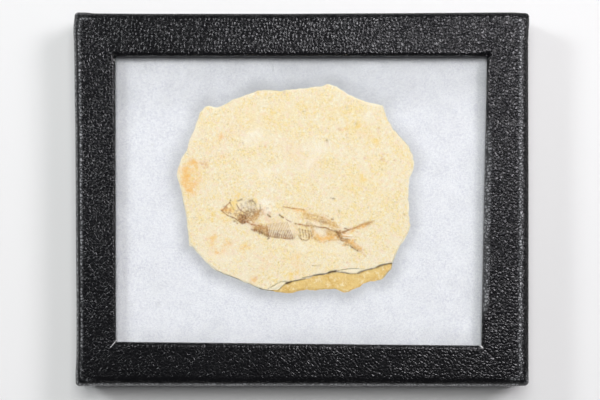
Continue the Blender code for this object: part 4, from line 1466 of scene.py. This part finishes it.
class Drawing:
    """Strokes laid on places of the stone: their colour, their cover and their rise."""

    THIN, WIDE = 0.3, 0.5
    SPREAD, STRENGTH = 1.3, 1.3
    REACH = 3.2

    def __init__(self, x: Array, y: Array) -> None:
        """Starts with nothing drawn.

        Args:
            x: The places along X.
            y: The places along Y.
        """
        self.x, self.y = x, y
        self.colour = np.zeros((*x.shape, 3))
        self.cover = np.zeros(x.shape)
        self.rise = np.zeros(x.shape)

    def lay(self, stroke: Stroke, roughness: float = 0.25) -> None:
        """Lays a stroke over what is there.

        Its shape is e to the power of minus the square of distance over half width. A thin stroke is
        spread wider, and noise makes the half width uneven. The mask is the shape times the cover,
        strengthened and mottled by noise. Colours are laid over each other by the mask, and the rise
        is added by the shape alone.

        Args:
            stroke: The stroke.
            roughness: How uneven its edges are.
        """
        ends = np.asarray(stroke.line)
        half_width = stroke.half_width * (self.SPREAD if stroke.half_width < self.THIN else 1.0)
        reach = self.REACH * half_width
        near = (self.x > ends[:, 0].min() - reach) & (self.x < ends[:, 0].max() + reach)
        near &= (self.y > ends[:, 1].min() - reach) & (self.y < ends[:, 1].max() + reach)
        if not near.any():
            return
        x, y = self.x[near], self.y[near]
        distance, _ = line_distance(x, y, stroke.line)
        uneven = 1.0 + roughness * fractal(x, y, 0.9 + half_width, 71, 3)
        shape = bell(distance, half_width * np.maximum(uneven, 0.3))
        mottle = 1.0 + 0.55 * fractal(x, y, 0.5, 79, 3) * min(stroke.half_width / 0.35, 1.0)
        if stroke.half_width > self.WIDE:
            mottle += 0.7 * fractal(x, y, 1.7, 83, 3)
        mask = np.clip(self.STRENGTH * stroke.cover * shape * mottle, 0.0, 1.0)
        before = self.cover[near]
        after = mask + before * (1.0 - mask)
        under = self.colour[near] * (before * (1.0 - mask))[:, None]
        blended = np.asarray(stroke.tint.value[:3]) * mask[:, None] + under
        self.colour[near] = blended / np.maximum(after, 1e-6)[:, None]
        self.cover[near] = after
        self.rise[near] += stroke.rise * shape


def rough_edge(edge: Array) -> Array:
    """An outline's places moved by fine noise, so that it isn't made of straight pieces."""
    offset = np.stack([fractal(edge[:, 0], edge[:, 1], 1.3, seed, 3) for seed in (61, 67)], -1)
    return edge + 0.13 * offset


@dataclass
class FossilSlab:
    """The slab: an upper bed with the fish in relief, and the ochre bed that shows at its front."""

    top: float = 13.95
    highest: float = 14.28
    bottom: float = 7.95
    ledge_drop: float = 0.6
    centre: Point = (-1.5, -7.25)
    core_low: Point = (-25.2, -16.9)
    core_high: Point = (22.4, 2.4)
    core_step: float = 0.15
    rings: int = 35
    band_rings: int = 25
    band_points: int = 620
    rim_width: float = 0.45
    rim_drop: float = 0.24
    flake_depth: float = 0.2
    most_rise: float = 0.2
    body_rise: float = 0.10
    body: tuple[Point, ...] = ((-19.0, -4.6), (-10.0, -6.0), (0.0, -7.9), (8.0, -9.9), (14.0, -11.0))
    body_half: tuple[Point, ...] = (
        (-23.0, 1.5), (-17.0, 4.2), (-9.0, 4.6), (2.0, 3.4), (10.0, 1.6), (17.0, 0.9),
    )
    overlap: float = 0.55
    wall_steps: int = 6
    foot_steps: int = 10
    band_samples: int = 1600

    def build(self, finish: Limestone) -> None:
        """Builds both beds as one piece with closed shells.

        Args:
            finish: The stone.
        """
        upper_points, upper_faces = self._upper_bed()
        lower_points, lower_faces = self._lower_bed()
        points = np.concatenate((upper_points, lower_points))
        faces = facing_out(upper_points, upper_faces)
        faces += [group + len(upper_points) for group in facing_out(lower_points, lower_faces)]
        piece = add_piece("limestone_slab", points, faces, finish.material(), crease=75.0)
        split = len(upper_points)
        for name, values in self._finish_values(points, split).items():
            if values.ndim == 2:
                add_colours(piece, name, values)
            else:
                add_values(piece, name, values)
        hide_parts("fossil_slab")

    def _surface(self, x: Array, y: Array, inside: Array) -> Array:
        """Height of the upper bed's top.

        Slow and fine noise roll the surface; the fish's body swells along its middle line, with the
        strokes' rises on it; the rim is chipped off within a width of the edge that noise varies; and
        the flakes and their cracks lie lower.

        Args:
            x: Places along X.
            y: Places along Y.
            inside: How far inside the outline each place is.

        Returns:
            Heights.
        """
        drawing = Drawing(x, y)
        for stroke in fish_strokes():
            drawing.lay(stroke)
        height = self.top + 0.05 * fractal(x, y, 14.0, 3, 2) + 0.022 * fractal(x, y, 1.7, 9, 4)
        off_middle, _ = line_distance(x, y, self.body)
        half = np.interp(x, *zip(*self.body_half))
        swell = self.body_rise * ramp(off_middle, half, half * 0.45)
        height += swell + np.minimum(drawing.rise, self.most_rise)
        width = self.rim_width * (1.0 + 0.6 * fractal(x, y, 2.6, 41, 3))
        height -= self.rim_drop * ramp(inside, width, 0.0) * (1.0 + 0.45 * fractal(x, y, 1.1, 47, 3))
        for flake in FLAKES:
            height -= self.flake_depth * ramp(Outline(flake).distance(x, y), 0.05, -0.12)
        for half_width, cover, *line in CRACK_ROWS[FLAKE_CRACKS:]:
            height -= self.flake_depth * cover * bell(line_distance(x, y, drawn(*line))[0], half_width)
        return np.minimum(height, self.highest)

    def _upper_bed(self) -> tuple[Array, list[Array]]:
        """The upper bed as a fine rectangle under the fish, rings from it to the outline, and a wall.

        Ring r of the top lies the share r of the way from the rectangle's edge to the outline, where
        the rectangle's corners are joined to the outline's points in the same directions.

        Returns:
            Its points and faces.
        """
        outline = Outline(SHARED_EDGE + FRACTURE_EDGE)
        (low_x, low_y), (high_x, high_y) = self.core_low, self.core_high
        columns = round((high_x - low_x) / self.core_step) + 1
        rows = round((high_y - low_y) / self.core_step) + 1
        core_x, core_y = np.meshgrid(np.linspace(low_x, high_x, columns), np.linspace(low_y, high_y, rows))
        number = np.arange(rows * columns).reshape(rows, columns)
        loop = np.concatenate((number[0, :-1], number[:-1, -1], number[-1, :0:-1], number[:0:-1, 0]))
        corners = (self.core_low, (high_x, low_y), self.core_high, (low_x, high_y))
        anchors = [outline.share_towards(self.centre, corner) for corner in corners]
        anchors = [share + (share < anchors[0]) for share in anchors]
        lengths = (columns - 1, rows - 1, columns - 1, rows - 1)
        ends = anchors[1:] + [anchors[0] + 1.0]
        shares = np.concatenate([np.linspace(a, b, n + 1)[:-1] for a, b, n in zip(anchors, ends, lengths)])
        edge = rough_edge(outline.at(shares))
        start = np.stack((core_x.ravel()[loop], core_y.ravel()[loop]), -1)
        step = np.linspace(0.0, 1.0, self.rings + 1)[1:, None, None]
        step = step + 0.18 * step * (1.0 - step) * (1.0 + step)
        core = np.stack((core_x, core_y), -1)
        plan = np.concatenate((core.reshape(-1, 2), (start + (edge - start) * step).reshape(-1, 2)))
        inside = -outline.distance(plan[:, 0], plan[:, 1])
        last = len(plan) - len(loop)
        inside[last:] = 0.0
        height = self._surface(plan[:, 0], plan[:, 1], inside)
        top = lifted(plan, height)
        towards = unit(edge - np.array(self.centre))
        floor = self.top - self.ledge_drop - self.overlap
        drop = steps_to_one(self.wall_steps)
        undercut = ramp(edge[:, 1], -19.0, -21.0) * ramp(edge[:, 0], -9.5, -5.0)
        jag = 0.10 * fractal(edge[:, 0] + 3.0 * drop, edge[:, 1] - 2.0 * drop, 0.8, 57, 3)
        out = -0.22 * drop * undercut + jag * np.sin(np.pi * np.minimum(drop * 1.2, 1.0))
        wall = lifted(edge + towards * out[..., None], height[last:] + (floor - height[last:]) * drop)
        wall = wall.reshape(-1, 3)
        points = np.concatenate((top, wall))
        rings = grid_faces(1 + self.rings + self.wall_steps, len(loop), wrap_columns=True)
        chained = np.concatenate((loop, np.arange(rows * columns, len(points))))
        bottom = np.arange(len(points) - len(loop), len(points))[::-1][None, :]
        self._upper_inside = np.concatenate((inside, np.zeros(len(wall))))
        return points, [grid_faces(rows, columns), chained[rings], bottom]

    def _lower_bed(self) -> tuple[Array, list[Array]]:
        """The lower bed: a band of rings that carries the ledge, walls and two flat caps.

        Returns:
            Its points and faces.
        """
        outline = Outline(SHARED_EDGE + LEDGE_EDGE)
        shares = np.linspace(0.0, 1.0, self.band_samples + 1)
        places = outline.at(shares[:-1])
        weight = 1.0 + 3.0 * ramp(places[:, 1], -15.0, -19.0)
        reached = np.concatenate(([0.0], np.cumsum(weight)))
        wanted = np.linspace(0.0, reached[-1], self.band_points + 1)[:-1]
        edge = rough_edge(outline.at(np.interp(wanted, reached, shares)))
        middle = np.array(self.centre)
        radius = (0.62 + 0.38 * np.linspace(0.0, 1.0, self.band_rings) ** 0.8)[:, None, None]
        plan = middle + (edge - middle) * radius
        x, y = plan[..., 0], plan[..., 1]
        inside = -outline.distance(x, y)
        inside[-1] = 0.0
        level = self.top - self.ledge_drop
        height = level + 0.10 * fractal(x, y, 2.4, 83, 4) + 0.05 * fractal(x, y, 0.6, 87, 3)
        height -= 0.40 * ramp(inside, 0.75 * (1.0 + 0.5 * fractal(x, y, 2.0, 89, 2)), 0.0)
        covered = ramp(Outline(SHARED_EDGE + FRACTURE_EDGE).distance(x, y), -0.4, -1.4)
        height -= 0.30 * covered
        band = lifted(plan, height)
        towards = unit(edge - middle)
        drop = steps_to_one(self.foot_steps)
        out = 0.10 * np.sin(np.pi * np.minimum(drop * 3.0, 1.0)) - 1.6 * ramp(drop, 0.25, 1.0)
        out = out + 0.16 * fractal(edge[:, 0] + 4.0 * drop, edge[:, 1] - 3.0 * drop, 1.6, 91, 3)
        wall = lifted(edge + towards * out[..., None], height[-1] + (self.bottom - height[-1]) * drop)
        points = np.concatenate((band, wall)).reshape(-1, 3)
        count = len(edge)
        first_cap = np.arange(count)[None, :]
        last_cap = np.arange(len(points) - count, len(points))[None, :]
        self._lower_inside = np.concatenate((inside.ravel(), np.zeros(wall.shape[0] * count)))
        band_faces = grid_faces(len(points) // count, count, wrap_columns=True)
        return points, [band_faces, first_cap[:, ::-1], last_cap]

    def _finish_values(self, points: Array, split: int) -> dict[str, Array]:
        """The attributes that the finish reads.

        Args:
            points: Every point of the piece.
            split: How many of them belong to the upper bed.

        Returns:
            Name to values.
        """
        x, y, z = points.T
        upper = np.arange(len(points)) < split
        inside = np.concatenate((self._upper_inside, self._lower_inside))
        drawing = Drawing(x, y)
        for tint, half_width, cover, *line in STAIN_ROWS:
            drawing.lay(Stroke(tint, half_width, cover, 0.0, drawn(*line)), STAIN_ROUGHNESS)
        for stroke in fish_strokes():
            drawing.lay(stroke)
        on_top = upper & (z > self.top - 0.7)
        marks = np.concatenate((drawing.colour, (drawing.cover * on_top)[:, None]), 1)
        chipped = self.rim_width * (1.0 + 0.6 * fractal(x, y, 2.6, 41, 3))
        broken = 0.75 * ramp(inside, chipped, chipped * 0.5) * upper
        for flake in FLAKES:
            broken = np.maximum(broken, 0.5 * ramp(Outline(flake).distance(x, y), 0.1, -0.15) * upper)
        cracked = np.zeros(len(points))
        for half_width, cover, *line in CRACK_ROWS:
            uneven = 1.0 + 0.5 * fractal(x, y, 1.0, 97, 2)
            distance, _ = line_distance(x, y, drawn(*line))
            cracked = np.maximum(cracked, cover * bell(distance, half_width * np.maximum(uneven, 0.3)))
        return {
            "marks": marks,
            "bed": np.where(upper, 0.0, 1.0),
            "broken": broken,
            "cracked": cracked * (z > self.top - 1.6),
        }


@dataclass
class BattingPad:
    """The pad of polyester batting, with the pocket that the slab presses in it and loose fibres."""

    half_width: float = 61.6
    half_depth: float = 49.7
    corner: float = 3.0
    level: float = 13.98
    highest: float = 14.36
    floor: float = 1.95
    pocket_floor: float = 7.6
    clearance: float = -0.03
    hollow: float = 0.55
    hollow_reach: float = 3.0
    edge_width: float = 8.0
    edge_drop: float = 2.4
    around: int = 960
    rings: int = 84
    wall_steps: int = 8
    rectangle_samples: int = 8000
    fill: float = 0.45
    fibre_pieces: int = 3
    fibres: int = 3950
    fibre_points: int = 9
    fibre_radius: float = 0.015
    fibre_top: float = 14.44
    centre: Point = (-1.5, -1.0)

    def build(self, pad_finish: BattingFibre, fibre_finish: BattingFibre) -> None:
        """Builds the pad and the fibres that stand out of it.

        Args:
            pad_finish: Finish of the pad.
            fibre_finish: Finish of the fibres.
        """
        self._outline = Outline(SHARED_EDGE + LEDGE_EDGE)
        self._build_pad(pad_finish.material())
        finish = fibre_finish.material()
        for number in range(self.fibre_pieces):
            self._build_fibres(number + 1, finish)

    def _surface(self, x: Array, y: Array, outside: Array) -> Array:
        """Height of the pad's top.

        Clumps of a few sizes roll it. It dips by the hollow at the slab's edge, which fades as e to
        the power of minus distance over reach, and drops near the tray's walls.

        Args:
            x: Places along X.
            y: Places along Y.
            outside: Distance from the slab's outline.

        Returns:
            Heights.
        """
        clumps = 0.15 * fractal(x, y, 7.5, 101, 2) + 0.05 * fractal(x * 0.8, y, 2.2, 107, 2)
        uneven = 1.0 + 0.35 * fractal(x, y, 9.0, 113, 2)
        faded = np.exp(-np.maximum(outside, 0.0) / self.hollow_reach)
        dip = self.hollow * uneven * self._pressing(x, y) * faded
        drop = self.edge_drop * ramp(self._from_wall(x, y), self.edge_width, 0.0) ** 1.6
        return np.minimum(self.level + clumps - dip, self.highest) - drop

    def _from_wall(self, x: Array, y: Array) -> Array:
        """Distance to the nearest of the pad's sides."""
        return np.minimum(self.half_width - np.abs(x), self.half_depth - np.abs(y))

    def _pressing(self, x: Array, y: Array) -> Array:
        """How hard the slab presses the pad, from its direction: most in front, least behind."""
        turn = np.arctan2(y - self.centre[1], x - self.centre[0])
        return 0.70 - 0.22 * np.sin(turn) - 0.10 * np.cos(turn)

    def _painted_shade(self, x: Array, y: Array, outside: Array) -> Array:
        """Share of painted shade: round the slab, most in front, near the tray's walls and along the back.

        Args:
            x: Places along X.
            y: Places along Y.
            outside: Distance from the slab's outline.

        Returns:
            Shares from 0 to 1.
        """
        # Painted contact shadow round the slab, weighted by how hard the slab presses, heaviest in front.
        round_slab = 0.50 * bell(np.maximum(outside, 0.0), 2.9)
        # Painted shade under the lid, near the tray's walls.
        by_wall = 0.16 * ramp(self._from_wall(x, y), 14.0, 6.5)
        share = round_slab * (1.45 * self._pressing(x, y) - 0.12) + by_wall
        # Painted shade along the back, where the lid shades the pad.
        share += (0.30 - 0.10 * np.abs(x) / 50.0) * ramp(y, 22.0, 36.0)
        return np.clip(share + 0.05 * fractal(x, y, 5.0, 131, 3), 0.0, 1.0)

    def _add_painted_shade(self, piece: Piece, points: Array) -> None:
        """Stores the share of painted shade at each of a piece's points."""
        x, y = points[:, 0], points[:, 1]
        add_values(piece, "painted_shade", self._painted_shade(x, y, self._outline.distance(x, y)))

    def _rectangle(self, count: int) -> Array:
        """Points round the pad's rounded rectangle, each in its own direction from the slab's middle.

        Args:
            count: How many.

        Returns:
            One X and Y a point.
        """
        quarter = np.radians(np.linspace(0.0, 90.0, 7))
        corners = []
        for turn, (side_x, side_y) in enumerate(((1, -1), (1, 1), (-1, 1), (-1, -1))):
            angle = quarter + math.radians(90.0 * turn - 90.0)
            corners += [
                (side_x * (self.half_width - self.corner) + self.corner * math.cos(a),
                 side_y * (self.half_depth - self.corner) + self.corner * math.sin(a))
                for a in angle
            ]
        ring = Outline(tuple(corners))
        fine = ring.at(np.linspace(0.0, 1.0, self.rectangle_samples + 1)[:-1])
        direction = np.unwrap(np.arctan2(fine[:, 1] - self.centre[1], fine[:, 0] - self.centre[0]))
        slab = self._outline.at(np.arange(count) / count) - np.array(self.centre)
        wanted = np.maximum.accumulate(np.unwrap(np.arctan2(slab[:, 1], slab[:, 0])))
        even = wanted[0] + 2.0 * np.pi * np.arange(count) / count
        wanted = 0.65 * wanted + 0.35 * even
        wanted = np.mod(wanted - direction[0], 2.0 * np.pi) + direction[0]
        reached = np.append(direction, direction[0] + 2.0 * np.pi)
        closed = np.vstack((fine, fine[:1]))
        return np.stack([np.interp(wanted, reached, closed[:, axis]) for axis in (0, 1)], -1)

    def _build_pad(self, finish: Material) -> None:
        """The pad: a flat pocket floor, the pocket's wall, rings out to the tray, sides and floor.

        Ring r of the top lies the share r of the way from the slab's outline to the rectangle.

        Args:
            finish: Its material.
        """
        count = self.around
        edge = rough_edge(self._outline.at(np.arange(count) / count))
        following, before = np.roll(edge, -2, 0), np.roll(edge, 2, 0)
        normal = np.stack((following[:, 1] - before[:, 1], before[:, 0] - following[:, 0]), -1)
        for _ in range(3):
            normal = normal + np.roll(normal, 1, 0) + np.roll(normal, -1, 0)
        normal = unit(normal)
        rectangle = self._rectangle(count)
        start = edge + normal * self.clearance
        share = np.linspace(0.0, 1.0, self.rings + 1)[:, None, None]
        share = 0.62 * share + 0.38 * share**2
        plan = start + (rectangle - start) * share
        x, y = plan[..., 0], plan[..., 1]
        top = lifted(plan, self._surface(x, y, self._outline.distance(x, y) - self.clearance))
        sink = np.linspace(0.0, 1.0, self.wall_steps + 1)[:-1, None]
        inset = -1.45 * (1.0 - ramp(sink, 0.0, 0.8))
        pocket_plan = start + normal * inset[..., None]
        pocket_height = self.pocket_floor + (top[0, :, 2] - self.pocket_floor) * sink
        pocket = lifted(pocket_plan, pocket_height)
        down = steps_to_one(self.wall_steps)
        side_height = top[-1, :, 2] + (self.floor + 0.4 - top[-1, :, 2]) * down
        side = lifted(np.broadcast_to(rectangle, (self.wall_steps, count, 2)), side_height)
        under = lifted(rectangle * 0.993, np.full(count, self.floor))[None]
        points = np.concatenate((pocket, top, side, under)).reshape(-1, 3)
        rows = len(points) // count
        faces = [
            grid_faces(rows, count, wrap_columns=True),
            np.arange(count)[::-1][None, :],
            np.arange(len(points) - count, len(points))[None, :],
        ]
        piece = add_piece("batting", points, facing_out(points, faces), finish)
        self._add_painted_shade(piece, points)
        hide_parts("batting_pad")

    def _build_fibres(self, number: int, finish: Material) -> None:
        """Loose fibres: thin three-sided tubes that wander over the pad.

        A fibre starts anywhere, its heading turns steadily with a slow wave on it, and it arches
        over the surface by the sine of the way along it.

        Args:
            number: Which of the pieces this is; it seeds the draw.
            finish: Their material.
        """
        random = np.random.default_rng(500 + number)
        count, sections = self.fibres * 2, self.fibre_points
        start = random.uniform(-1.0, 1.0, (count, 2)) * (self.half_width - 1.0, self.half_depth - 1.0)
        length = random.uniform(2.5, 7.0, (count, 1))
        heading = random.uniform(0.0, 2.0 * np.pi, (count, 1))
        bend = random.normal(0.0, 1.3, (count, 1))
        wave, phase = random.uniform(0.2, 1.0, (count, 1)), random.uniform(0.0, 6.3, (count, 1))
        low, arch = random.uniform(-0.05, 0.03, (count, 1)), random.uniform(0.0, 0.10, (count, 1))
        along = np.linspace(0.0, 1.0, sections)[None, :]
        heading = heading + bend * along + wave * np.sin(7.0 * along + phase)
        x = start[:, :1] + np.cumsum(np.cos(heading), 1) * length / sections
        y = start[:, 1:] + np.cumsum(np.sin(heading), 1) * length / sections
        outside = self._outline.distance(x, y)
        inside_pad = (np.abs(x) < self.half_width - 0.5).all(1) & (np.abs(y) < self.half_depth - 0.5).all(1)
        kept = np.flatnonzero(inside_pad & (outside > self.clearance + 0.1).all(1))[: self.fibres]
        x, y, outside = x[kept], y[kept], outside[kept]
        arched = arch[kept] * np.sin(np.pi * along)
        height = self._surface(x, y, outside - self.clearance) + low[kept] + arched
        height = np.minimum(height, self.fibre_top - self.fibre_radius)
        path = np.stack((x, y, height), -1)
        direction = np.gradient(path, axis=1)
        direction /= np.linalg.norm(direction, axis=-1, keepdims=True)
        sideways = np.cross(direction, (0.0, 0.0, 1.0))
        sideways /= np.linalg.norm(sideways, axis=-1, keepdims=True)
        upwards = np.cross(sideways, direction)
        turn = np.radians([90.0, 210.0, 330.0])[None, None, :, None]
        taper = self.fibre_radius * (0.35 + 0.65 * np.sin(np.pi * (0.08 + 0.84 * along)))[..., None, None]
        ring = taper * (np.cos(turn) * sideways[:, :, None, :] + np.sin(turn) * upwards[:, :, None, :])
        points = (path[:, :, None, :] + ring).reshape(-1, 3)
        one = grid_faces(sections, 3, wrap_columns=True)
        first = (np.arange(len(kept)) * sections * 3)[:, None, None]
        tubes = (one[None] + first).reshape(-1, 4)
        starts = (np.array([[2, 1, 0]])[None] + first).reshape(-1, 3)
        ends = (np.array([[0, 1, 2]])[None] + first + (sections - 1) * 3).reshape(-1, 3)
        faces = facing_out(points, [tubes, starts, ends])
        piece = add_piece(f"batting_fibres_{number}", points, faces, finish)
        self._add_painted_shade(piece, points)


@dataclass(frozen=True)
class SoftLight:
    """A square soft light aimed at the case.

    Attributes:
        name: Its name.
        azimuth: Its direction in plan from +X, in degrees.
        elevation: Its height over the table, in degrees.
        distance: Its distance from the case, in metres.
        side: Its side, in metres.
        power: Its power in watts.
        colour: Its colour.
        glints: Whether glossy surfaces mirror it.
        lights: Whether it lights dull surfaces.
    """

    name: str
    azimuth: float
    elevation: float
    distance: float
    side: float
    power: float
    colour: tuple[float, float, float]
    glints: bool = True
    lights: bool = True

    def build(self) -> None:
        """Builds the light."""
        turn, rise = math.radians(self.azimuth), math.radians(self.elevation)
        lamp = bpy.data.lights.new(self.name, "AREA")
        lamp.shape = "SQUARE"
        lamp.size, lamp.energy, lamp.color = self.side, self.power, self.colour
        light = bpy.data.objects.new(self.name, lamp)
        flat = self.distance * math.cos(rise)
        light.location = (flat * math.cos(turn), flat * math.sin(turn), self.distance * math.sin(rise))
        light.rotation_euler = (math.pi / 2.0 - rise, 0.0, turn + math.pi / 2.0)
        light.visible_glossy = light.visible_transmission = self.glints
        light.visible_diffuse = self.lights
        bpy.context.scene.collection.objects.link(light)


@dataclass
class Studio:
    """The pale table, the even light of the room, the soft lights and the camera straight above."""

    table_radius: float = 1.8
    table_inner: float = 0.4
    table_steps: int = 96
    camera_place: tuple[float, float, float] = (-0.66, -0.07, 509.2)
    lens: float = 100.0
    sensor: float = 36.0
    lights: tuple[SoftLight, ...] = (
        SoftLight("soft_light_left", 150.0, 47.0, 0.70, 0.15, 1.30, (0.95, 0.98, 1.0)),
        SoftLight("soft_light_right", 34.0, 52.0, 0.75, 0.24, 2.10, (1.0, 0.96, 1.0), glints=False),
        SoftLight("soft_light_above", 90.0, 77.0, 1.0, 0.36, 5.80, (1.0, 1.0, 1.0), glints=False),
        SoftLight("glint_light_right", 30.0, 56.0, 0.27, 0.10, 0.52, (0.98, 0.95, 1.0), lights=False),
    )
    dim: Colour = (0.075, 0.075, 0.08, 1.0)
    horizon: Colour = (0.80, 0.80, 0.79, 1.0)
    fade: Point = (0.03, 0.13)

    def build(self, table_finish: PaleTable) -> None:
        """Builds the table, the lights and the camera.

        Args:
            table_finish: The table's finish.
        """
        self._build_table(table_finish.material())
        self._build_room()
        for light in self.lights:
            light.build()
        camera = bpy.data.cameras.new("camera")
        camera.lens = self.lens
        camera.sensor_width = self.sensor
        viewer = bpy.data.objects.new("camera", camera)
        viewer.location = [value * MM for value in self.camera_place]
        bpy.context.scene.collection.objects.link(viewer)
        bpy.context.scene.camera = viewer
        bpy.context.scene.view_settings.view_transform = "Standard"

    def _build_table(self, finish: Material) -> None:
        """The table: a flat disc of two rings of points round one in its middle.

        Args:
            finish: Its material.
        """
        turn = np.radians(np.arange(self.table_steps) * 360.0 / self.table_steps)
        circle = np.stack((np.cos(turn), np.sin(turn), 0.0 * turn), -1)
        points = np.concatenate(([[0.0, 0.0, 0.0]], circle * self.table_inner, circle * self.table_radius))
        step = np.arange(self.table_steps)
        following = (step + 1) % self.table_steps
        fan = np.stack((0 * step, step + 1, following + 1), -1)
        ring = grid_faces(2, self.table_steps, wrap_columns=True)[:, ::-1] + 1
        mesh = bpy.data.meshes.new("table")
        mesh.from_pydata(points.tolist(), [], fan.tolist() + ring.tolist())
        mesh.materials.append(finish)
        table = bpy.data.objects.new("table", mesh)
        bpy.context.scene.collection.objects.link(table)

    def _build_room(self) -> None:
        """The room's own light: dim, and pale at the horizon and below it."""
        world = bpy.data.worlds.new("room")
        world.use_nodes = True
        nodes, links = world.node_tree.nodes, world.node_tree.links
        split, share, mixed = (nodes.new(f"ShaderNode{kind}") for kind in ("SeparateXYZ", "MapRange", "Mix"))
        mixed.data_type = "RGBA"
        mixed.inputs[6].default_value, mixed.inputs[7].default_value = self.horizon, self.dim
        share.inputs["From Min"].default_value, share.inputs["From Max"].default_value = self.fade
        links.new(nodes.new("ShaderNodeTexCoord").outputs["Generated"], split.inputs["Vector"])
        links.new(split.outputs["Z"], share.inputs["Value"])
        links.new(share.outputs["Result"], mixed.inputs[0])
        links.new(mixed.outputs[2], nodes["Background"].inputs["Color"])
        bpy.context.scene.world = world


def main() -> None:
    """Builds the case from the table up."""
    logging.basicConfig(level=logging.INFO, format="%(name)s: %(message)s")
    board = Chipboard()
    Studio().build(PaleTable())
    Tray().build(PlainPaper(), board)
    loose = BattingFibre("loose_fibre", display(246, 247, 250), display(238, 239, 244), bump_depth=0.01)
    BattingPad().build(BattingFibre(), loose)
    FossilSlab().build(Limestone())
    DisplayLid().build(EmbossedPaper(), board, GummedTape(), PaneGlass())


if __name__ == "__main__":
    main()
